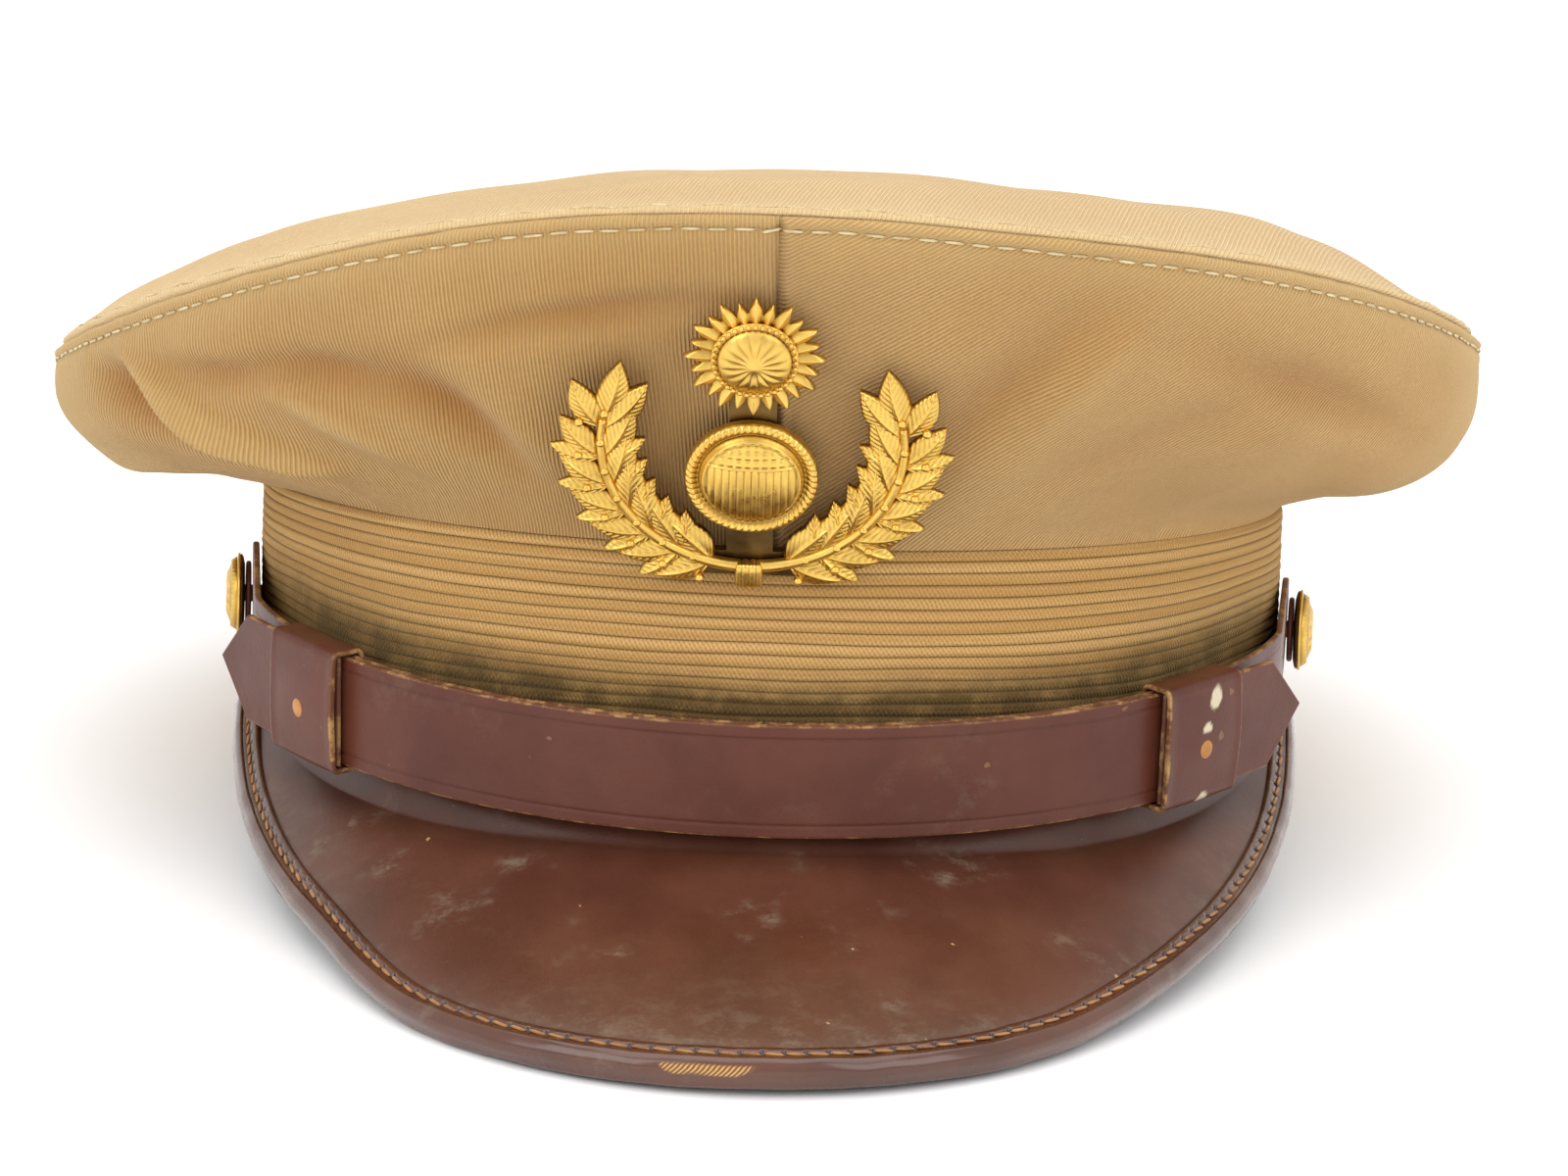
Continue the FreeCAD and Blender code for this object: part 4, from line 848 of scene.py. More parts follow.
def crown_top():
    """The top panel as worn: puffed unevenly, and drawn to the lopsided rim."""
    turn, share = np.meshgrid(full_turn(720, -math.pi),
                              np.concatenate([[0.0003], graded(0.02, 1.0, 130, crowd_end=9)]))
    base = top_shape(turn, share)
    inside = 1 - share ** 2
    puff = 3.4 * bump(base[..., 0], 86, 38) * smooth(inside, 0.0, 0.35)
    puff = puff + 1.4 * bump(base[..., 0], -100, 24) * smooth(inside, 0, 0.15)
    drawn = rim(turn) - top_shape(turn, np.ones_like(share))
    base = base + drawn * [1, 1, 0] * share[..., None] ** 2
    base[..., 2] += puff + drawn[..., 2] * share ** 4
    # rows run from the middle out, so the normals come out pointing down
    normal = -surface_normal(base, True)
    to_rim = np.linalg.norm(base - base[-1:], axis=-1)
    relief = seam_roll(to_rim, 1.1, RIM_STITCH_TOP, RIM_ROLL)
    relief = relief + 0.5 * ripple(base, 21, 22, 60) * smooth(to_rim, 4, 22)
    pucker = 0.12 * np.sin(turn * RIM_MEAN_RADIUS / TOP_PUCKER * 2)
    relief = relief + pucker * bump(to_rim, RIM_STITCH_TOP, 2.4)
    relief = relief + 0.12 * ripple(base, 22, 5, 12) * bump(to_rim, 5, 7)
    normal = tucked(normal, turn, to_rim)
    outer = base + normal * relief[..., None]
    inner = outer - normal * TWILL_THICKNESS
    fade_and_crest_light = 0.8 * bump(to_rim, 0, 6.0)
    item = top_sheet("crown_top_cloth", outer, inner, base, fields={"fade_and_crest_light": fade_and_crest_light[::-1]}, twist=-10)
    finish_piece(item, "cap", "twill_light", "crown_top_panel")
    return outer, normal, to_rim


def along_row(points, spacing):
    """Places along a closed row of points, evenly spaced, as fractional column numbers."""
    ring = np.concatenate([points, points[:1]])
    walk = walk_along(ring)
    count = int(walk[-1] / spacing)
    targets = np.arange(count) * walk[-1] / count
    return np.interp(targets, walk, np.arange(len(ring)))


def pick(grid, places):
    """Values of a closed row at fractional column numbers."""
    ring = np.concatenate([grid, grid[:1]])
    low = np.floor(places).astype(int)
    share = (places - low)[:, None]
    return ring[low] * (1 - share) + ring[low + 1] * share


def row_at(points, distance, wanted):
    """The closed row of a surface that lies a wanted distance from the rim, column by column."""
    columns = []
    for column in range(points.shape[1]):
        gaps = distance[:, column]
        order = np.argsort(gaps)
        columns.append([np.interp(wanted, gaps[order], points[order, column, axis])
                        for axis in range(3)])
    return np.array(columns)


def rim_stitching(top, top_normal, top_distance):
    """Two rows of cream topstitching, above and below the rim seam."""
    random = np.random.default_rng(31)
    turn = full_turn(720, -math.pi)
    bearing, rise = np.meshgrid(turn, graded(0.8, 1.0, 60, crowd_end=2))
    face, normal = side_face(bearing, rise)
    base = flare(bearing, rise)
    distance = np.linalg.norm(base - base[-1:], axis=-1)
    centres, headings, normals, lengths = [], [], [], []
    for points, facing, gaps, wanted in ((face, normal, distance, RIM_STITCH_SIDE),
                                         (top, top_normal, top_distance, RIM_STITCH_TOP)):
        row, up = row_at(points, gaps, wanted), row_at(facing, gaps, wanted)
        places = along_row(row, RIM_PITCH)
        centres.append(pick(row, places) + pick(up, places) * 0.2)
        headings.append(pick(ring_steps(row), places))
        normals.append(pick(up, places))
        lengths.append(random.uniform(2.9, 3.3, len(places)))
    item = capsules("rim_stitching", np.concatenate(centres), np.concatenate(headings),
                    np.concatenate(normals), np.concatenate(lengths), RIM_THREAD)
    finish_piece(item, "cap", "twill_light", material=CREAM_THREAD)


def inner_layer(name, slot_name, reach, rises, depth, thickness, size, gather=0.0):
    """A hidden layer that follows the crown's face, folds and all, between two bearings (degrees)
    and two rises.  Its size is in columns and rows."""
    bearing, rise = np.meshgrid(np.linspace(*np.radians(reach), size[0]), np.linspace(*rises, size[1]))
    base = flare(bearing, rise)
    normal = surface_normal(base)
    follow = fold_relief(bearing, rise)[..., None]
    depth = np.broadcast_to(depth, bearing.shape)[..., None]
    sway = gather * np.sin(bearing * 74 + 2.2 * np.sin(bearing * 9)) * (1 - smooth(rise, 0.0, 0.7))
    outer = base + normal * (follow - depth - sway[..., None])
    item = shell(name + "_made", outer, outer - normal * thickness)
    finish_piece(item, "cap", slot_name, name)


def crown():
    crown_quarter("front_left", 0, -60)
    crown_quarter("rear_left", 1, -50)
    crown_quarter("rear_right", -2, 40)
    crown_quarter("front_right", -1, 3)
    rim_stitching(*crown_top())
    hoop = (0.84, 0.95)
    inner_layer("front_interlining", "buckram", (-48, 48), (0.04, 0.82), 1.85, 0.7, (120, 40))
    fuller_in_front = 4 + 5 * np.maximum(0, np.cos(np.radians(np.linspace(-179.8, 179.8, 420)))) ** 3
    inner_layer("lining_side", "lining_cloth", (-179.8, 179.8), (0.0, 0.88), fuller_in_front, 0.5,
                (420, 60), gather=0.55)
    lining_top()
    inner_layer("grommet_ring", "spring_steel", (-179.6, 179.6), hoop, 1.85, 0.8, (400, 6))
    clip = math.degrees(0.06)
    inner_layer("grommet_joint_clip", "spring_steel", (180 - clip, 180 + clip), hoop, 2.7, 0.5, (12, 6))
    inner_layer("front_stay", "spring_steel", (-3.2, 3.2), (0.05, 0.94), 2.85, 0.7, (12, 40))


def lining_top():
    """The inside of the crown's top, seen from below."""
    turn, share = np.meshgrid(full_turn(240, -math.pi),
                              np.concatenate([[0.0003], np.linspace(0.03, 0.905, 60)]))
    outer = level(top_shape(turn, share), -6.4)
    outer[..., 2] += 0.5 * ripple(outer, 41, 14, 40)
    item = top_sheet("lining_top_made", outer, level(outer, -0.5), outer)
    finish_piece(item, "cap", "lining_cloth", "lining_top")


# ================================================================== the band
FRONT_DIP, HEM_START, HEM_END = 4.0, 98.0, 44.0
RIB_COUNT, HEM_PITCH = 25, 3.4


def hem(y):
    """The band's lower edge: it dips at the front, where the visor is sewn on."""
    return FRONT_DIP * np.clip((y + HEM_START) / (HEM_START - HEM_END), 0, 1)


def visor_seam(bearing):
    """The height at which the visor's face meets the band; far above it where there is no visor."""
    wall = oval(bearing)
    drop = ARCH * (np.sqrt(1 - (wall[..., 0] / ARCH) ** 2) - 1)
    along = (wall[..., 1] + FRONT + drop * math.sin(VISOR_SLOPE)) / math.cos(VISOR_SLOPE)
    seam = along * math.sin(VISOR_SLOPE) + drop * math.cos(VISOR_SLOPE)
    return np.where(np.cos(bearing) > 0.3, seam, 50.0)


def braid_band():
    """Ribs of mohair cord, woven together: each is a low flat-topped ridge with a narrow groove."""
    per_rib = 11
    rib = np.arange(RIB_COUNT * per_rib + 1) / per_rib
    bearing, place = np.meshgrid(full_turn(900, -math.pi), rib)
    wall = oval(bearing)
    low = np.minimum(0.3 + hem(wall[..., 1]), visor_seam(bearing) - 0.5)
    high = BAND_HEIGHT + 0.5
    share = place / RIB_COUNT
    waver = 0.16 * ripple(level(wall, 9.0 * place), 51, 22, 60)
    z = low + (high - low) * share + waver * np.sin(math.pi * share)
    phase = place - np.floor(place)
    ridge = 1 - np.abs(2 * phase - 1) ** 3.2
    girth = 0.42 + 0.06 * ripple(level(wall, 31.0 * place), 52, 9, 25)
    puff = 0.35 * ripple(level(wall, z), 53, 30, 70)
    roll = 1.1 * smooth(share, 0.97, 1.02)
    proud = girth * ridge - 0.25 + puff * 0.5 - roll
    outer = level(wall + outward(bearing) * proud[..., None], z)
    inner = level(oval(bearing, 1.2), z)
    # painted shade: marks the groove between ribs, where the braid is darkened
    groove = np.clip(1 - ridge * 1.7, 0, 1)
    above_strap = z - (BAND_HEIGHT / 2 + 9.5 + (wall[..., 1] + 23) * math.sin(math.radians(8)))
    front = smooth(np.cos(bearing), 0.1, 0.7)
    soil = np.clip((1 - smooth(above_strap, -1, 11)) * (0.3 + 0.7 * front), 0, 1)
    soil = np.clip(soil + 0.8 * (1 - smooth(above_strap, 0, 7)) * front, 0, 1.6)
    item = shell("ribbed_braid", outer, inner, True, fields={"groove": groove, "soil": soil})
    finish_piece(item, "cap", "mohair_braid", "mohair_braid_band")


def sweatband():
    """The soft leather band inside, with a stitched top hem, standing on its rolled reed."""
    inset, thickness, low, high = 4.6, 1.0, 6.8, 40.0
    bearing, height = np.meshgrid(full_turn(480, -math.pi), graded(low, high, 44, 2, 2))
    wall = level(oval(bearing, inset), height)
    soft = 0.3 * ripple(wall, 61, 26, 60) * smooth(height, low, low + 8)
    edge = np.minimum(height - low, high - height)
    round_off = 0.35 * (1 - smooth(edge, 0.0, 0.6))
    dent = 0.22 * bump(height, high - 2.2, 0.4) + 0.22 * bump(height, low + 2.0, 0.4)
    outer = wall - outward(bearing) * (soft + round_off)[..., None]
    inner = level(oval(bearing, inset + thickness), height)
    inner = inner - outward(bearing) * (soft - round_off - dent)[..., None]
    # the field groove is painted shade along the dent below the top edge
    item = shell("sweatband_leather_band", outer, inner, True,
                 fields={"edge": 0.7 * (1 - smooth(edge, 0.1, 0.5)),
                         "groove": 0.4 * bump(height, high - 2.2, 0.35)})
    finish_piece(item, "cap", "sweatband_leather", "sweatband")
    ring = oval(full_turn(360, -math.pi), inset + 0.5)
    item = tube("sweatband_reed_cord", level(ring, low - 1.2), 1.08, 18, True)
    finish_piece(item, "cap", "sweatband_leather", "sweatband_reed")
    row = level(oval(full_turn(720, -math.pi), inset + thickness + 0.12), low + 2.0)
    places = along_row(row, HEM_PITCH)
    item = capsules("sweatband_stitching", pick(row, places), pick(ring_steps(row), places),
                    pick(row, places) * [-1, -1, 0], 2.5, HEM_THREAD)
    finish_piece(item, "cap", "sweatband_leather", material=CREAM_THREAD)


# ================================================================== the visor
VISOR_DEPTH = 52.6
VISOR_FRONT_RADIUS, VISOR_SIDE_RADIUS = 66.1, 171.2
VISOR_BLEND = math.radians(50)
LEATHER, BOARD, WRAP, BINDING, VISOR_PITCH = 0.9, 1.2, 0.8, 4.2, 3.35
VISOR_THICKNESS = 2 * LEATHER + BOARD
VISOR_SPREAD, VISOR_LEAN = 2.2, 1.3


def outline(angle):
    """The visor's edge square to its slope, by the direction that the edge faces."""
    angle = np.asarray(angle, float)
    facing = np.stack([np.sin(angle), -np.cos(angle)], -1)
    front_middle = np.array([0, VISOR_FRONT_RADIUS - VISOR_DEPTH])
    side = np.abs(angle) > VISOR_BLEND
    toward = np.stack([np.sin(np.copysign(VISOR_BLEND, angle)), -np.cos(VISOR_BLEND) + 0 * angle], -1)
    side_middle = front_middle - toward * (VISOR_SIDE_RADIUS - VISOR_FRONT_RADIUS)
    middle = np.where(side[..., None], side_middle, front_middle)
    radius = np.where(side, VISOR_SIDE_RADIUS, VISOR_FRONT_RADIUS)
    edge = middle + facing * radius[..., None]
    # worn, the visor leans toward the wearer's right and stands a little wider than it was cut
    edge[..., 0] += (VISOR_SPREAD * np.sin(angle) - VISOR_LEAN) * smooth(-edge[..., 1], 0, 34)
    return edge, facing


def arched(flat, height):
    """A flat (x, y) of the visor at a height above its arched face, in the band frame."""
    flat = np.asarray(flat, float)
    lean = np.arcsin(np.clip(flat[..., 0] / ARCH, -1, 1))
    x = flat[..., 0] + height * np.sin(lean)
    z = ARCH * (np.cos(lean) - 1) + height * np.cos(lean)
    return VISOR_SEAT.place(np.stack([x, flat[..., 1], z], -1))


def find_corner():
    """The direction that the edge faces where it meets the band."""
    low, high = VISOR_BLEND, math.radians(89.9)
    for _ in range(40):
        middle = (low + high) / 2
        point = arched(outline(middle)[0], 0.0)
        if math.hypot(point[0] + SIDE_OFFSET, point[1]) > SIDE_RADIUS + 0.2:
            low = middle
        else:
            high = middle
    return low


CORNER = find_corner()


def edge_walk(count, margin=0.0):
    """Edge directions from corner to corner, evenly spaced by the length between them."""
    angle = np.linspace(-CORNER + margin, CORNER - margin, 2001)
    points, _ = outline(angle)
    walk = walk_along(points)
    return np.interp(np.linspace(0, walk[-1], count), walk, angle), walk[-1]


def visor_sheet(name, node_name, slot_name, top, bottom, fields=None, wave=0.0, turn_up=False):
    """One of the visor's layers, from the band's oval out to the visor's edge."""
    angle, _ = edge_walk(420)
    edge, _ = outline(angle)
    corner = arched(outline(CORNER)[0], 0.0)
    last = math.atan2(corner[0] + SIDE_OFFSET, -corner[1])
    oval_bearing = np.linspace(-last, last, 4001)
    band = oval(oval_bearing, -0.05)
    walk = walk_along(band)
    x, y = (np.interp(np.linspace(0, walk[-1], 420), walk, band[:, axis]) for axis in (0, 1))
    drop = ARCH * (np.sqrt(1 - (x / ARCH) ** 2) - 1)
    inner_edge = np.stack([x, (y + FRONT + drop * math.sin(VISOR_SLOPE)) / math.cos(VISOR_SLOPE)], -1)
    share = graded(0.0, 1.0, 130, crowd_start=8, crowd_end=3)[:, None, None]
    flat = inner_edge[None] * (1 - share) + edge[None] * share
    to_edge = np.linalg.norm(flat - edge[None], axis=-1)
    dip = -0.12 * bump(to_edge, BINDING + 0.6, 0.9)
    swell = wave * ripple(np.concatenate([flat, 0 * flat[..., :1]], -1), 71, 18, 50)
    outer = arched(flat, -top + dip + swell)
    inner = arched(flat, -bottom)
    from_band = np.linalg.norm(flat - inner_edge[None], axis=-1)
    if turn_up:
        aside = np.abs(flat[..., 0])
        rise = (1.7 + 3.4 * smooth(aside, 15, 80)) * (1 - smooth(from_band, 0.0, 2.8))
        outer[..., 2] += rise * (1 - smooth(aside, 84, 90))
    # rows run outward and columns toward +X, so the upper face needs its rows turned round
    made = fields(flat, to_edge, from_band) if fields else {}
    item = shell(name, outer[::-1], inner[::-1], uv=(flat[::-1, :, 0], flat[::-1, :, 1]),
                 fields={key: value[::-1] for key, value in made.items()})
    finish_piece(item, "cap", slot_name, node_name)


def visor_wear(flat, to_edge, from_band):
    """Dust along the binding, at the front and at the sides, and a painted shadow under the strap."""
    rubbed = 0.5 * bump(np.maximum(to_edge - BINDING, 0), 0, 4.0)
    aside = np.abs(flat[..., 0])
    front = 0.5 * smooth(-flat[..., 1], 22, 48) * (1 - smooth(aside, 30, 60))
    sides = smooth(aside, 48, 92) * 0.55
    clean = smooth(from_band, 3.0, 12.0)
    # dust is real; groove is a painted shadow where the strap shades the leather next to the band
    return {"dust": np.clip(rubbed + sides + front, 0, 0.85) * clean,
            "groove": 0.45 * (1 - smooth(from_band, 1.5, 10.0))}


def binding_roll():
    """The rolled leather that wraps the visor's edge, with its groove, needle holes and thread."""
    angle, length = edge_walk(1500, 0.004)
    roll = 2.2
    top, bottom = 0.75, -VISOR_THICKNESS - WRAP
    section = [(-BINDING, 0.02), (-BINDING, top * 0.55), (-BINDING + 0.25, top * 0.95)]
    section += [(a, top) for a in np.arange(-BINDING + 0.5, -1.6, 0.16)]
    out = WRAP + 0.05
    upper = [(out - roll + roll * math.sin(t), top + 0.25 - roll * (1 - math.cos(t)))
             for t in np.linspace(-0.2, math.pi / 2, 12)]
    lower = [(out - 1.4 + 1.4 * math.cos(t), bottom + 1.4 - 1.4 * math.sin(t))
             for t in np.linspace(0, math.pi / 2, 9)]
    section += upper + lower
    section += [(a, bottom) for a in (-1.2, -2.0, -3.0, -BINDING + 0.3)]
    under = -VISOR_THICKNESS - 0.05
    section += [(-BINDING, bottom + 0.3), (-BINDING, under), (-2.0, under), (-0.1, under),
                (0.04, -VISOR_THICKNESS / 2), (-0.1, 0.0), (-2.0, 0.02)]
    section = np.array(section)
    away, height = (section[None, :, axis] + 0 * angle[:, None] for axis in (0, 1))
    walked = np.linspace(0, length, len(angle))[:, None]
    is_top = (height > 0.3) & (away < -1.0)
    pitch = VISOR_PITCH
    beat = np.abs((walked / pitch) % 1 - 0.5) * pitch
    hole = bump(beat, 0, 0.34) * bump(away, -2.95, 0.33) * is_top
    trough = bump(away, -2.55, 0.5) * is_top
    crease = bump(away, -3.75, 0.22) * is_top
    edge, facing = outline(angle)
    flat_middle = np.concatenate([edge, 0 * edge[:, :1]], -1)
    uneven = 0.10 * ripple(flat_middle[:, None] + height[..., None] * [0, 0, 3], 81, 5, 22)
    ridge = 0.10 * bump(away, -1.1, 0.5) * (height > 0)
    height = (height - 0.55 * hole - 0.22 * trough - 0.10 * crease + ridge
              + np.where(height > 0.3, uneven, 0))
    away = away + np.where(away > 0.2, uneven * 0.8, 0)
    flat = edge[:, None] + facing[:, None] * away[..., None]
    points = arched(flat, height)
    along = walked - length / 2
    patch = smooth(along, -15, -9) * (1 - smooth(along, -2, 4)) * bump(height, 0.3, 0.9) * (away > 0)
    bare = smooth(patch * (1 + 0.3 * ripple(points, 82, 2.0, 6.0)), 0.3, 0.5)
    # painted shade in the needle holes and along the crease
    fields = {"groove": np.clip(hole * 1.2 + 0.35 * crease, 0, 1), "bare": bare,
              "dust": 0.35 * smooth(np.abs(flat[..., 0]), 55, 90) + 0 * away}
    around = walk_along(np.vstack([section, section[:1]]))
    grid = np.meshgrid(around, np.concatenate([walked[:, 0], [length]]))
    item = loft("visor_binding", points[:, ::-1], False, {k: v[:, ::-1] for k, v in fields.items()},
                uv=(grid[0][:, ::-1], grid[1][:, ::-1]))
    finish_piece(item, "cap", "binding_leather", "visor_edge_binding")
    starts = np.arange(pitch * 0.5, length, pitch)
    middle_angle = np.interp(starts + pitch / 2, np.linspace(0, length, len(angle)), angle)[:-1]
    edge, facing = outline(middle_angle)
    sideways = np.stack([-facing[:, 1], facing[:, 0]], -1)
    # each stitch leans a little across the line
    centres = arched(edge - facing * 2.62, 0.66)
    ahead = arched(edge - facing * 2.5 + sideways, 0.66)
    behind = arched(edge - facing * 2.74 - sideways, 0.66)
    up = arched(edge, 1.0) - arched(edge, 0.0)
    item = capsules("visor_stitching", centres, ahead - behind, up, 3.0, VISOR_THREAD, 10, 9, 0.7)
    finish_piece(item, "cap", "binding_leather", material=GOLD_THREAD)


def visor():
    visor_sheet("visor_top", "visor_top_leather", "visor_leather", 0.0, LEATHER, visor_wear, 0.12, True)
    visor_sheet("visor_underside", "visor_lining", "visor_underside", LEATHER + BOARD, VISOR_THICKNESS)
    binding_roll()


# ================================================================== the front strap
STRAP_HALF, STRAP_LEATHER, STRAP_RADIUS, LAYER_GAP = 9.0, 1.2, 88.6, 0.1
KEEPER = {"left": (48.3, 1), "right": (52.4, -1)}
SPAN, LOOP_WALL, CLEARANCE, TAB_REACH = 11.5, 0.9, 0.25, 10.7
STACK_OUTER = STRAP_RADIUS + 3 * STRAP_LEATHER + 2 * LAYER_GAP
BUTTON_BEARING, BUTTON_HEIGHT = math.radians(81.7), 24.0
# the bearing at which the strap leaves its arc and runs straight to the button
LEAVES_ARC = 72


def strap_rows():
    """Places across a strap, -1 to 1, close together at its edges and its creased lines."""
    near_edge = [0.0, 0.03, 0.08, 0.16, 0.28, 0.45, 0.7, 1.1, 1.5, 1.75, 1.95, 2.1, 2.25, 2.45, 2.7, 3.2]
    near_edge = 1 - np.array(near_edge) / STRAP_HALF
    return np.unique(np.concatenate([np.linspace(-0.6, 0.6, 21), near_edge, -near_edge]))


def strap_section(name, path, half, centre, node_name, body, seed, crease=True):
    """A leather strap along a flat path (x, y) of its inner face: half its width, and its middle's
    height, may change along it.  Its edges are rounded and its two creases pressed in."""
    path = np.asarray(path, float)
    tangent = unit(np.gradient(path, axis=0))
    out = np.stack([tangent[:, 1], -tangent[:, 0]], -1)
    v, s = np.meshgrid(strap_rows(), walk_along(path), indexing="ij")
    half = np.broadcast_to(half, len(path))[None, :]
    centre = np.broadcast_to(centre, len(path))[None, :]
    height = centre + v * half
    beside = np.minimum((1 - np.abs(v)) * half, np.minimum(s, s[0, -1] - s))
    rounded = rounded_edge(beside, 0.42)
    pressed = (0.11 * bump(beside, 2.1, 0.22) + 0.05 * (1 - smooth(beside, 0.6, 2.0))) * crease
    spots = np.stack([path[:, 0][None] + 0 * v, path[:, 1][None] + 0 * v, height], -1)
    uneven = 0.07 * ripple(spots, seed, 12, 40)
    face = STRAP_LEATHER - rounded - pressed + uneven * smooth(beside, 0, 2)
    out = np.concatenate([out, 0 * out[:, :1]], -1)[None]
    outer, inner = (STRAP_SEAT.place(spots + out * layer[..., None]) for layer in (face, rounded))
    # painted shade along the pressed creases
    fields = {"edge": 0.75 * (1 - smooth(beside, 0.12, 0.42)),
              "groove": 0.28 * bump(beside, 2.1, 0.2) * crease}
    item = shell(name, outer, inner, fields=fields, uv=(s, height))
    finish_piece(item, body, "strap_leather", node_name)


def mirrored(sign, path, *along):
    """A path drawn on the wearer's left, and what goes with it; for a sign of -1, on the right."""
    return [rows[::sign] for rows in (path * [sign, 1], *along)]


def arc_path(radius, first, last, step=0.4):
    """Points along an arc round the strap's axis, between two bearings in degrees."""
    bearing = np.radians(np.arange(first, last + step / 2, step))
    return outward(bearing)[:, :2] * radius


def button_seat(side):
    """The frame of a side button's post, from the band outward."""
    bearing = BUTTON_BEARING * KEEPER[side][1]
    z_axis = outward(bearing)
    return Seat(level(oval(bearing), BUTTON_HEIGHT), np.cross(UP, z_axis), UP, z_axis)


def strap_half(side):
    """The inner layer: from the middle of the front round to the side button, where it rises."""
    sign = KEEPER[side][1]
    seat = button_seat(side)
    button = STRAP_SEAT.local(seat.origin + seat.axes[2] * 0.6)
    button[0] = abs(button[0])
    start = outward(math.radians(LEAVES_ARC))[:2] * STRAP_RADIUS
    span = np.linalg.norm(button[:2] - start)
    ahead = (button[:2] - start) / span
    reach = np.arange(0.4, span + STRAP_HALF - 0.01, 0.4)
    reach = np.concatenate([reach, span + STRAP_HALF * np.sin(np.radians([70, 78, 84, 88]))])
    reach = np.unique(reach[reach < span + STRAP_HALF - 0.004])
    arc = arc_path(STRAP_RADIUS, 0.1, LEAVES_ARC)
    path = np.concatenate([arc, start + ahead * reach[:, None]])
    # the arc and the straight run meet at a corner, which is smoothed for some points on each side
    kernel, beside, corner = np.ones(9) / 9, 16, len(arc) - 1
    softened = np.stack([np.convolve(path[:, axis], kernel, mode="same") for axis in (0, 1)], -1)
    path[corner - beside:corner + beside] = softened[corner - beside:corner + beside]
    along = np.concatenate([np.zeros(len(path) - len(reach)), reach])
    centre = button[2] * smooth(np.minimum(along / span, 1), 0, 1)
    round_end = np.sqrt(np.maximum(STRAP_HALF ** 2 - (along - span) ** 2, 0.02))
    half = np.where(along > span, round_end, STRAP_HALF)
    path, centre, half = mirrored(sign, path, centre, half)
    strap_section("strap_inner_leather_" + side, path, half, centre, "strap_inner_" + side, "cap", 92)


def strap():
    strap_half("left")
    strap_half("right")
    outer = STRAP_RADIUS + STRAP_LEATHER + LAYER_GAP
    path = arc_path(outer, -4.5 - KEEPER["right"][0], 4.5 + KEEPER["left"][0])
    strap_section("strap_outer_leather", path, STRAP_HALF, 0.0, "strap_outer", "cap", 93)


def strap_tip(side):
    """The strap's free end, cut to a point, which leaves its keeper and stands off the band."""
    bearing, sign = KEEPER[side]
    radius = STACK_OUTER - STRAP_LEATHER
    start, leave = bearing - SPAN / 2 + 0.4, bearing + SPAN / 2 + 0.5
    path = arc_path(radius, start, leave, 0.35)
    heading = math.radians(leave - 4)
    ahead = np.array([math.cos(heading), math.sin(heading)])
    reach = np.unique(np.concatenate([np.arange(0.35, TAB_REACH, 0.35), [TAB_REACH],
                                      TAB_REACH + np.linspace(0.1, STRAP_HALF - 0.03, 34)]))
    path = np.concatenate([path, path[-1] + ahead * reach[:, None]])
    along = np.concatenate([np.zeros(len(path) - len(reach)), reach])
    half = np.minimum(STRAP_HALF, STRAP_HALF - (along - TAB_REACH))
    path, half = mirrored(sign, path, half)
    strap_section("strap_tip_leather_" + side, path, half, 0.0, "strap_tip_" + side, "keeper_" + side,
                  94 if sign > 0 else 95, crease=False)


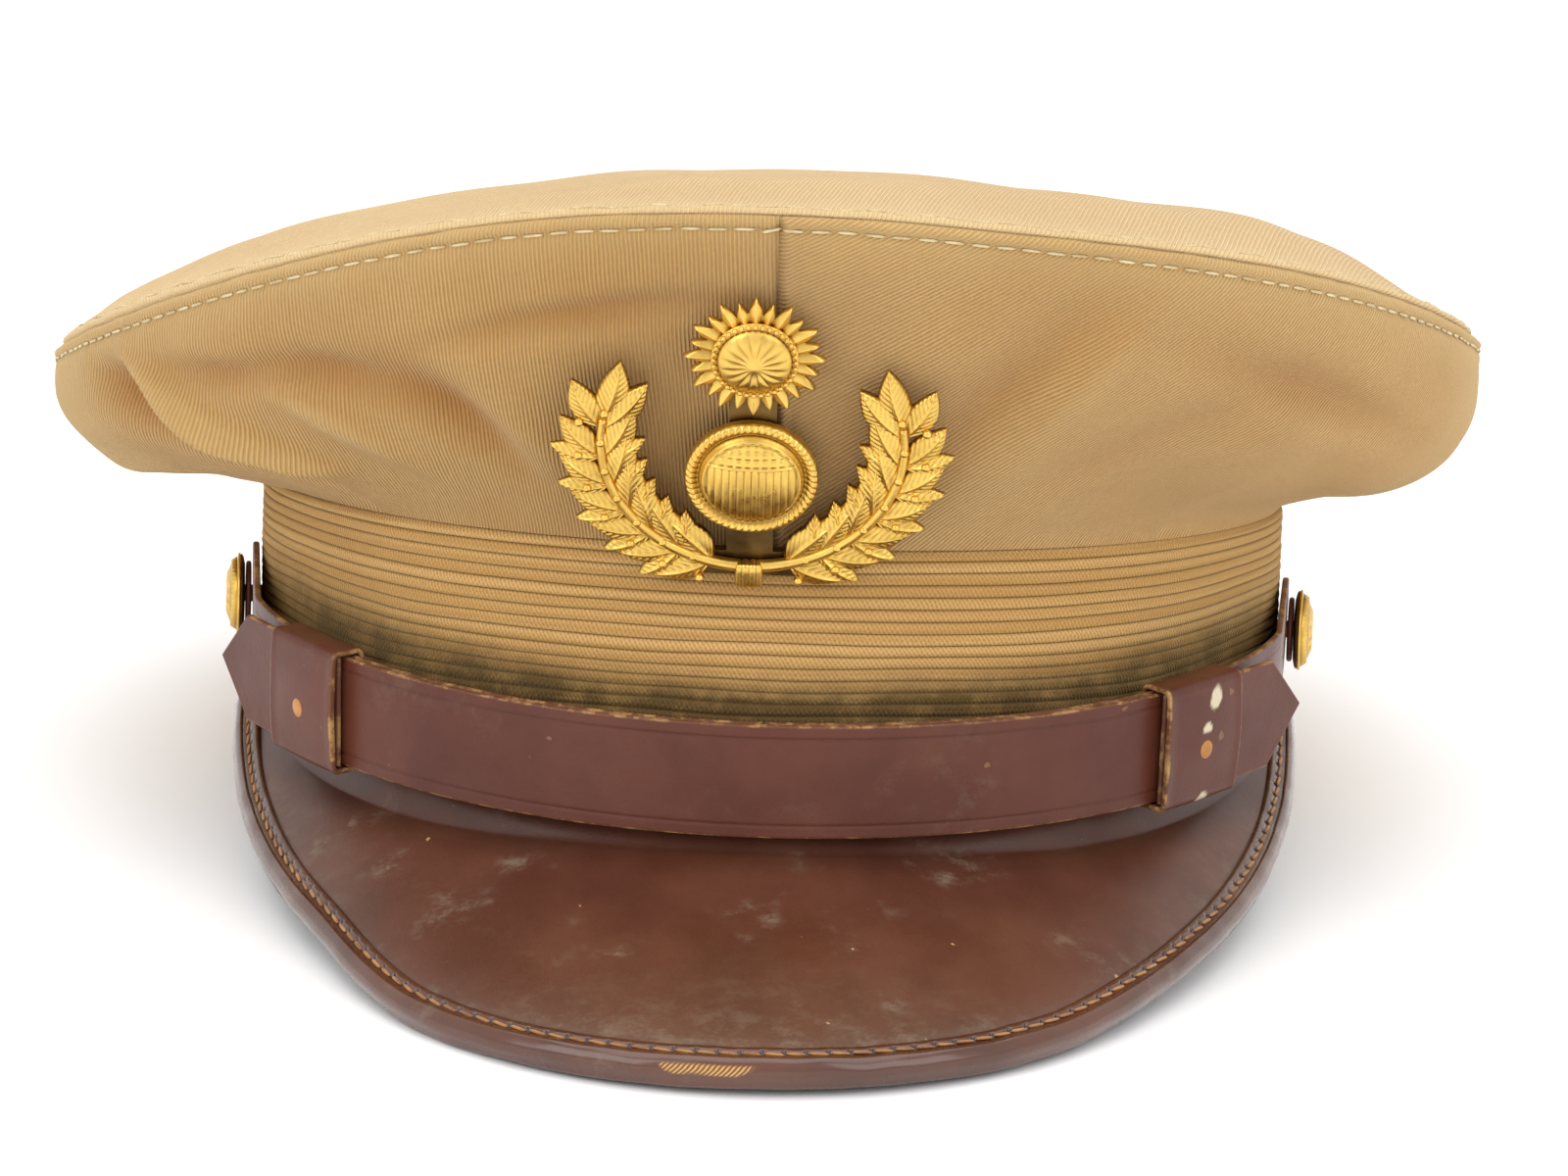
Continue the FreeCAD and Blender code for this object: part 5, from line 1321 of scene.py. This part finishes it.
def keeper_loop(side):
    """A leather loop round the three layers of strap, its cut edges flared and worn to tan."""
    bearing, sign = KEEPER[side]
    near, far = STRAP_RADIUS - CLEARANCE, STACK_OUTER + CLEARANCE
    top = STRAP_HALF + CLEARANCE
    corner = 0.55
    places = [(far - corner, top - corner, 0), (near + corner, top - corner, 90),
              (near + corner, -top + corner, 180), (far - corner, -top + corner, 270)]
    # round the section: out, up, and the way that its face looks
    ring = np.array([(x + corner * out, z + corner * up, out, up) for x, z, first in places
                     for out, up in pointing(np.radians(first + np.linspace(0, 90, 8)))])
    filled = []
    for here, following in zip(ring, np.roll(ring, -1, 0)):
        count = max(1, int(np.linalg.norm(following[:2] - here[:2]) / 0.5))
        filled += [here + (following - here) * k / count for k in range(count)]
    filled = np.array(filled)
    filled, normals = filled[:, :2], unit(filled[:, 2:])
    half_span = math.radians(SPAN / 2)
    near_edge = np.array([0, 0.004, 0.01, 0.02, 0.035, 0.06])
    across = np.unique(np.concatenate([np.linspace(-0.93, 0.93, 41), 1 - near_edge, near_edge - 1]))
    across = across[:, None]
    turn = math.radians(bearing) * sign + across * half_span
    beside = (1 - np.abs(across)) * half_span * far
    rounded = rounded_edge(beside, 0.4)
    # rows go across the loop and columns go round the section
    height = filled[None, :, 1]
    front = normals[None, :, 0] > 0.5
    lift = 0.5 * np.clip(1 - (height / top) ** 2, 0, 1) * front
    lift = lift + 0.28 * bump(beside, 0, 1.3) * np.clip(normals[None, :, 0], 0, 1)
    drift = 0.4 * np.arange(len(across))[:, None]
    spots = np.stack(np.broadcast_arrays(filled[:, 0] + drift, height, 0.0), -1)
    lift = lift + 0.10 * ripple(spots, 97, 8, 24) * front
    outside = filled + normals * (LOOP_WALL + lift - rounded)[..., None]
    inside = filled + normals * (lift * 0.6 + rounded)[..., None]
    outer, inner = (STRAP_SEAT.place(level(outward(turn) * shape[..., :1], shape[..., 1]))
                    for shape in (outside, inside))
    high_patch = bump(height, top - 2.4, 2.6) * bump(across, 0.02 + 0.03 * height, 0.22)
    small_patch = bump(height, top - 6.8, 0.8) * bump(across, 0.0, 0.13)
    chip = bump(height, -top, 0.9) * bump(across, 0.1, 0.2)
    spots = np.stack(np.broadcast_arrays(height, across * 5, 0.0), -1)
    ragged = 0.13 * ripple(spots, 98, 1.6, 5)
    patch = np.maximum(np.maximum(high_patch, small_patch), chip) * front + ragged
    fields = {"edge": 0.95 * (1 - smooth(beside, 0.1, 0.5)),
              "dust": 0.15 * (np.abs(height) > top - 0.8) * bump(across, 0, 0.8),
              "flaked": smooth(patch, 0.5, 0.66) * (side == "left") * 0.85}
    item = shell("keeper_leather_" + side, outer, inner, True, fields=fields)
    finish_piece(item, "keeper_" + side, "strap_leather", "keeper_loop_" + side)


def dome_points(radius, base, rise, count, start=0.0, short=0.01):
    """A dome's outline, as (radius, height), from its foot to just short of its top."""
    return [(radius * math.cos(t), base + rise * math.sin(t))
            for t in np.linspace(start, math.pi / 2 - short, count)]


def keeper_rivet(side):
    """The small domed rivet through a keeper's face."""
    bearing, sign = KEEPER[side]
    facing = outward(math.radians(bearing) * sign)
    far = STACK_OUTER + CLEARANCE + LOOP_WALL
    origin = STRAP_SEAT.place(facing * (far + 0.12) - UP)
    axes = [STRAP_SEAT.place(axis) - STRAP_SEAT.origin for axis in (np.cross(UP, facing), UP, facing)]
    seat = Seat(origin, *axes)
    outline_points = [(0.02, -0.85), (0.9, -0.85), (0.9, -0.12), (1.78, -0.1), (1.9, 0.08), (1.84, 0.2)]
    outline_points += dome_points(1.75, 0.24, 0.42, 9, 0.0, 0.0)[:-1] + [(0.02, 0.66)]
    item = turned_piece("keeper_rivet_head_" + side, fine(outline_points, 0.15), seat, 48)
    finish_piece(item, "keeper_" + side, "brass", "keeper_rivet_" + side)


def keepers():
    for side in ("left", "right"):
        strap_tip(side)
        keeper_loop(side)
        keeper_rivet(side)


# ================================================================== the side buttons
def rope_rim(radius, turn, at, width, height, strands):
    """A twisted rope round a turned piece: slanting bulges in a ring."""
    slope = np.abs(np.sin(turn * strands / 2 + (radius - at) * 1.4))
    return height * bump(radius, at, width) * (0.45 + 0.55 * slope)


def button_relief(radius, turn):
    """A plain rosette inside a rope rim."""
    petals = np.abs(np.cos(turn * 6)) ** 0.6
    flower = 0.34 * petals * bump(radius, 3.2, 1.3)
    flower = flower + 0.16 * np.abs(np.cos(turn * 12)) * bump(radius, 1.4, 0.5)
    return flower + rope_rim(radius, turn, 5.7, 0.38, 0.32, 44)


def button_recess_shade(radius, turn):
    """Painted shade between the petals and beside the rim."""
    petals = np.abs(np.cos(turn * 6)) ** 0.6
    between = (1 - petals) * bump(radius, 3.2, 1.6) * 0.8
    ring = 0.8 * bump(radius, 4.95, 0.3) + 0.7 * bump(radius, 6.35, 0.22)
    return np.clip(between + ring, 0, 1)


def side_button(side):
    """The parts of a side button that show: its leather washer, back cup and domed face."""
    seat = button_seat(side)
    body = "side_button_" + side
    washer = [(1.6, 2.1), (5.3, 2.1), (5.6, 2.3), (5.6, 2.8), (5.3, 3.0), (1.6, 3.0)]
    item = turned_piece("button_leather_disc_" + side, fine(washer), seat, 72)
    finish_piece(item, "cap", "strap_leather", "button_leather_washer_" + side)
    back = [(0.02, 3.2), (5.2, 3.2), (6.4, 3.45), (6.85, 3.75), (6.7, 3.9), (0.02, 3.9)]
    item = turned_piece("button_back_cup_" + side, fine(back), seat)
    finish_piece(item, body, "dark_brass", "button_back_" + side)
    shell_outline = [(0.02, 3.9), (6.6, 3.9), (6.92, 4.0), (7.0, 4.2), (6.9, 4.42), (6.5, 4.5)]
    dome_rise = dome_points(6.3, 4.5, 1.75, 60, 0.04)

    def face_relief(radius, turn):
        on_dome = np.arange(len(radius))[:, None] > len(radius) - 62
        return np.where(radius < 6.3, button_relief(radius, turn), 0) * on_dome

    item = turned_piece("button_dome_" + side, fine(shell_outline) + dome_rise, seat, 180,
                        face_relief, button_recess_shade)
    finish_piece(item, body, "gilt_brass", "button_shell_" + side)


# ================================================================== the badge
SPRAY_RADIUS, SPRAY_MIDDLE = 22.5, np.array([0.0, 0.5])
BOSS_LEVEL, SUN_LEVEL = -5.2, 16.2


def join(name, items):
    """One object from several."""
    first = items[0]
    with bpy.context.temp_override(active_object=first, selected_editable_objects=items, object=first):
        bpy.ops.object.join()
    first.name = name
    first.data.name = name
    return first


def leaf(base, heading, length, width, sign, lift):
    """A laurel leaf: a pointed blade with a raised midrib and slanting veins."""
    s, v = np.meshgrid(np.linspace(0.0, 1.0, 44), np.linspace(-1, 1, 25))
    half = width / 2 * np.sin(math.pi * np.clip(s, 0.015, 0.985) ** 0.85) ** 0.85
    along = s * length
    beside = v * half
    arch = 1.25 * (1 - v ** 2) ** 0.55 * np.sin(math.pi * np.clip(s, 0.03, 0.985)) ** 0.5
    rib = 0.42 * bump(v, 0, 0.13) * np.sin(math.pi * np.clip(s, 0.04, 0.97)) ** 0.4
    vein = np.sin((along - np.abs(beside) * 1.3) * 2 * math.pi / 1.15)
    veins = 0.14 * vein * (1 - bump(v, 0, 0.22)) * (1 - smooth(np.abs(v), 0.8, 1.0))
    beside = beside + 0.35 * np.sin(math.pi * s) * (1 if lift > 0 else -1)
    z = 0.15 + lift + 0.35 * s ** 2 + arch + rib + veins
    turn = math.radians(heading)
    x = base[0] + along * math.cos(turn) - beside * math.sin(turn)
    y = base[1] + along * math.sin(turn) + beside * math.cos(turn)
    upper = np.stack([x * sign, y, z], -1)
    lower = np.stack([x * sign, y, 0 * z + 0.08], -1)
    # painted shade at the leaf's edges and in the veins' grooves
    groove = 0.75 * smooth(np.abs(v), 0.82, 1.0) + 0.5 * bump(vein, -1, 0.5) * (np.abs(v) > 0.12)
    groove = np.clip(groove, 0, 1)
    if sign < 0:
        upper, lower, groove = upper[:, ::-1], lower[:, ::-1], groove[:, ::-1]
    return shell("leaf", BADGE_SEAT.place(upper), BADGE_SEAT.place(lower), fields={"groove": groove})


def spray(side, sign):
    """A laurel spray that sweeps up from the tie to one side, with berries between its leaves."""
    angle = np.radians(np.linspace(-86, 10, 80))
    line = SPRAY_MIDDLE + pointing(angle) * SPRAY_RADIUS
    stem = np.stack([line[:, 0] * sign, line[:, 1], 0 * angle + 1.0], -1)
    pieces = [tube("stem", BADGE_SEAT.place(stem), np.linspace(1.0, 0.6, 80), 12)]
    for step in range(7):
        turn = math.radians(-76 + 13.5 * step)
        base = SPRAY_MIDDLE + SPRAY_RADIUS * pointing(turn)
        heading = math.degrees(turn) + 90
        # each leaf's lean, length, width and lift: between the ends, two more spread wider
        leaves = [(34, 10.8, 5.0, 0.25), (-32, 9.6, 4.8, -0.05)]
        if 0 < step < 6:
            leaves += [(-66, 8.0, 3.9, -0.12), (68, 7.4, 3.7, 0.05)]
        pieces += [leaf(base, heading + lean, length, width, sign, lift)
                   for lean, length, width, lift in leaves]
        for reach, lean in ((3.2, 4), (3.6, -70)):
            spot = base + reach * pointing(math.radians(heading + lean))
            pieces.append(ball(np.array([spot[0] * sign, spot[1], 1.35]), 0.72))
    base = SPRAY_MIDDLE + SPRAY_RADIUS * pointing(math.radians(14) - 0.1)
    pieces.append(leaf(base, 104, 11.2, 5.0, sign, 0.2))
    item = join("laurel_spray_" + side, pieces)
    finish_piece(item, "cap", "gilt_brass", "badge_spray_" + side)


def ball(centre, radius, sides=16):
    """A small bead on the badge."""
    polar = np.linspace(0.05, math.pi - 0.05, 9)
    turn = full_turn(sides)
    ring = np.stack([np.outer(np.sin(polar), np.cos(turn)), np.outer(np.sin(polar), np.sin(turn)),
                     np.outer(-np.cos(polar), np.ones(sides))], -1)
    return loft("bead", BADGE_SEAT.place(centre + ring * radius))


def raised_seat(upward, height):
    """The badge's frame, moved up its face and out from it."""
    return Seat(BADGE_SEAT.place([0, upward, height]), *BADGE_SEAT.axes)


def sunburst():
    """A plain burst of rays, two lengths in turn, round a polished dome with a beaded edge."""
    sides, rays = 384, 24
    turn = full_turn(sides)
    ray = turn * rays / (2 * math.pi)
    beat = np.abs(ray % 1 - 0.5) * 2
    reach = 10.5 - 2.4 * (1 - beat) ** 1.2 - 0.7 * (np.floor(ray + 0.5) % 2)
    # shares of the reach, from the back round to the front: a height, or None on the rays' face
    rows = [(0.02, 0.02), (0.96, 0.02), (1.0, 0.25)]
    rows += [(s, None) for s in np.linspace(0.985, 0.3, 30)] + [(0.02, None)]
    points = []
    for share, height in rows:
        radius = share * reach
        if height is None:
            ridge = 0.62 * beat ** 1.1 * smooth(share, 0.3, 0.7) + 0.35 * (1 - share)
            z = 0.55 + ridge * smooth(1.0 - share, 0.0, 0.06) + 0.15
        else:
            z = height + 0 * turn
        points.append(np.stack([radius * np.cos(turn), radius * np.sin(turn), z], -1))
    # painted shade between the rays
    item = loft("sunburst_rays", raised_seat(SUN_LEVEL, 0.0).place(points),
                fields={"groove": 0.8 * (1 - beat) ** 3})
    finish_piece(item, "cap", "gilt_brass", "badge_sunburst")
    outline_points = [(0.02, 0.0), (6.3, 0.0), (6.5, 0.25), (6.4, 0.6), (5.7, 0.62)]
    rise = dome_points(5.5, 0.6, 1.85, 30)

    def flutes(radius, turn):
        ribs = 0.24 * np.abs(np.cos(turn * 8)) ** 0.7 * bump(radius, 3.3, 1.4)
        return ribs + 0.3 * bump(radius, 0, 0.9)

    # painted shade between the flutes and round the dome's foot
    def flute_recess_shade(radius, turn):
        between = 0.7 * (1 - np.abs(np.cos(turn * 8))) ** 2 * bump(radius, 3.3, 1.4)
        return 0.9 * bump(radius, 5.6, 0.18) + between

    item = turned_piece("sunburst_dome", fine(outline_points, 0.2) + rise, raised_seat(SUN_LEVEL, 1.05),
                        192, flutes, flute_recess_shade)
    beads = [ball(np.array([6.05 * math.cos(t), SUN_LEVEL + 6.05 * math.sin(t), 1.75]), 0.42, 10)
             for t in full_turn(36)]
    item = join("sunburst_dome", [item] + beads)
    finish_piece(item, "cap", "gilt_brass", "badge_sun_dome")


def boss():
    """The round boss in the middle: a rope rim round a domed, reeded field."""
    outline_points = [(0.02, 0.0), (9.8, 0.0), (10.0, 0.3), (10.0, 1.2), (9.8, 1.6), (8.3, 1.5)]
    rise = dome_points(8.0, 1.2, 2.7, 90, 0.06, 0.005)
    count = len(fine(outline_points, 0.12))

    def relief(radius, turn):
        row = np.arange(len(radius))[:, None]
        field_part = (row >= count) * (1 - smooth(radius, 6.6, 7.4))
        x, y = radius * np.cos(turn), radius * np.sin(turn)
        reeds = np.abs(np.sin(x * math.pi / 1.1)) ** 0.7
        band_part = np.clip(1 - np.abs(y - 3.0) / 0.25, 0, 1)
        pebbles = np.abs(np.sin(x * math.pi / 1.3) * np.sin((y - 3.3) * math.pi / 1.3)) * (y > 3.3)
        pattern = 0.22 * reeds * (y < 2.8) + 0.22 * band_part + 0.24 * pebbles
        ring = 0.25 * bump(radius, 7.3, 0.22) * (row >= count)
        return pattern * field_part + ring + rope_rim(radius, turn, 9.1, 0.62, 0.8, 56) * (row > 12)

    # painted shade in the reeds' lines and beside the rims
    def recess_shade(radius, turn):
        reeds = np.abs(np.sin(radius * np.cos(turn) * math.pi / 1.1))
        lines = (1 - smooth(reeds, 0.0, 0.5)) * (radius * np.sin(turn) < 2.8) * (radius < 7.0)
        return np.clip(0.8 * lines + bump(radius, 8.2, 0.3) + 0.7 * bump(radius, 6.9, 0.16), 0, 1)

    item = turned_piece("badge_boss_made", fine(outline_points, 0.12) + rise,
                        raised_seat(BOSS_LEVEL, 0.0), 360, relief, recess_shade)
    finish_piece(item, "cap", "gilt_brass", "badge_boss")


def ribbon_tie():
    """The ribbon wound round the stems at the foot."""
    turn = full_turn(48)
    along = np.linspace(-1, 1, 61)
    windings = 0.16 * np.abs(np.sin(along * math.pi * 2.0))
    ends = np.sqrt(np.clip(1 - np.abs(along) ** 10, 0.01, 1))
    points = []
    for place, winding, end in zip(2.2 * along, windings, ends):
        across = np.sign(np.cos(turn)) * np.abs(np.cos(turn)) ** 0.5 * (2.1 + winding) * end
        height = np.sign(np.sin(turn)) * np.abs(np.sin(turn)) ** 0.6 * (1.15 + winding) * end
        points.append(np.stack([place + 0 * turn, -23.2 + across, 1.3 + height], -1))
    # painted shade between the windings
    recess_shade = np.repeat((1 - windings / 0.16)[:, None] ** 4 * 0.9, 48, 1)
    item = loft("badge_ribbon", BADGE_SEAT.place(points), fields={"groove": recess_shade})
    finish_piece(item, "cap", "gilt_brass", "badge_tie")


def badge():
    spray("left", 1)
    spray("right", -1)
    sunburst()
    boss()
    ribbon_tie()


# ================================================================== the scene
def finish_cad_nodes():
    """Gives every CAD node that still shows the finish of its slot."""
    for name, item in frame["nodes"].items():
        weave_coordinates(item)
        item.data.materials.clear()
        item.data.materials.append(FINISHES[NODE_SLOT[name]])
        item.data.polygons.foreach_set("use_smooth", np.ones(len(item.data.polygons), bool))
        item.data.set_sharp_from_angle(angle=math.radians(35))


# each lamp's name, place, the point that it's turned to, width and height (metres) and watts
LAMPS = [("overhead", (0.0, -0.15, 1.25), (0, 0, 0.04), 1.5, 1.2, 9.0),
         ("front_left", (-0.95, -1.0, 0.8), (0, 0, 0.06), 0.9, 0.9, 6.0),
         ("front_right", (0.95, -1.0, 0.8), (0, 0, 0.06), 0.9, 0.9, 5.0)]


def soft_light(name, place, aim, width, height, power):
    data = bpy.data.lights.new(name, "AREA")
    data.shape = "RECTANGLE"
    data.size, data.size_y = width, height
    data.energy = power
    item = bpy.data.objects.new(name, data)
    item.location = place
    item.rotation_euler = (Vector(aim) - Vector(place)).to_track_quat("-Z", "Y").to_euler()
    bpy.context.scene.collection.objects.link(item)


def stage():
    """A pale floor that curves up behind, an even white world and three lamps."""
    floor = Finish("pale_floor", Roughness=0.6, Specular_IOR_Level=0.2)
    patches = floor.ranged(floor.noise(3.0), 0.2, 0.8)
    tone = floor.mixed(patches, paint(253, 253, 253), paint(250, 251, 252))
    cove = [(1.2 + 0.8 * math.sin(t), 0.8 - 0.8 * math.cos(t))
            for t in np.linspace(0.1, math.pi / 2, 16)]
    profile = [(-1.6, 0.0), (1.2, 0.0)] + cove + [(2.0, 2.6)]
    mesh = bpy.data.meshes.new("floor")
    sides = 2.4
    vertices = [(x, y, z) for y, z in profile for x in (-sides, sides)]
    faces = [(2 * k, 2 * k + 1, 2 * k + 3, 2 * k + 2) for k in range(len(profile) - 1)]
    mesh.from_pydata(vertices, [], faces)
    mesh.polygons.foreach_set("use_smooth", np.ones(len(faces), bool))
    mesh.materials.append(floor.done(tone))
    item = bpy.data.objects.new("floor", mesh)
    bpy.context.scene.collection.objects.link(item)
    world = bpy.data.worlds.new("studio")
    world.use_nodes = True
    background = [n for n in world.node_tree.nodes if n.type == "BACKGROUND"][0]
    background.inputs["Color"].default_value = (1, 1, 1, 1)
    background.inputs["Strength"].default_value = 0.95
    bpy.context.scene.world = world
    for lamp in LAMPS:
        soft_light(*lamp)
    bpy.context.scene.view_settings.view_transform = "Standard"


CAMERA_TILT, CAMERA_ROLL, CAMERA_DISTANCE = math.radians(14.35), math.radians(2.0), 0.75
CAMERA_AIM, SENSOR_WIDTH, LENS = (2.4, 0, 25.8), 36.0, 96.7


def camera():
    """Straight in front, a little above, turned two degrees."""
    tilt, roll = CAMERA_TILT, CAMERA_ROLL
    ahead = Vector((0, math.cos(tilt), -math.sin(tilt)))
    right, up = Vector((1, 0, 0)), Vector((0, math.sin(tilt), math.cos(tilt)))
    data = bpy.data.cameras.new("camera")
    data.sensor_width, data.lens = SENSOR_WIDTH, LENS
    item = bpy.data.objects.new("camera", data)
    x_axis = right * math.cos(roll) + up * math.sin(roll)
    y_axis = up * math.cos(roll) - right * math.sin(roll)
    turn = Matrix((x_axis, y_axis, -ahead)).transposed()
    place = Vector(settle(CAMERA_AIM)) - ahead * CAMERA_DISTANCE
    item.matrix_world = Matrix.Translation(place) @ turn.to_4x4()
    bpy.context.scene.collection.objects.link(item)
    bpy.context.scene.camera = item


camera()
stage()
crown()
braid_band()
sweatband()
visor()
strap()
keepers()
side_button("left")
side_button("right")
badge()
finish_cad_nodes()
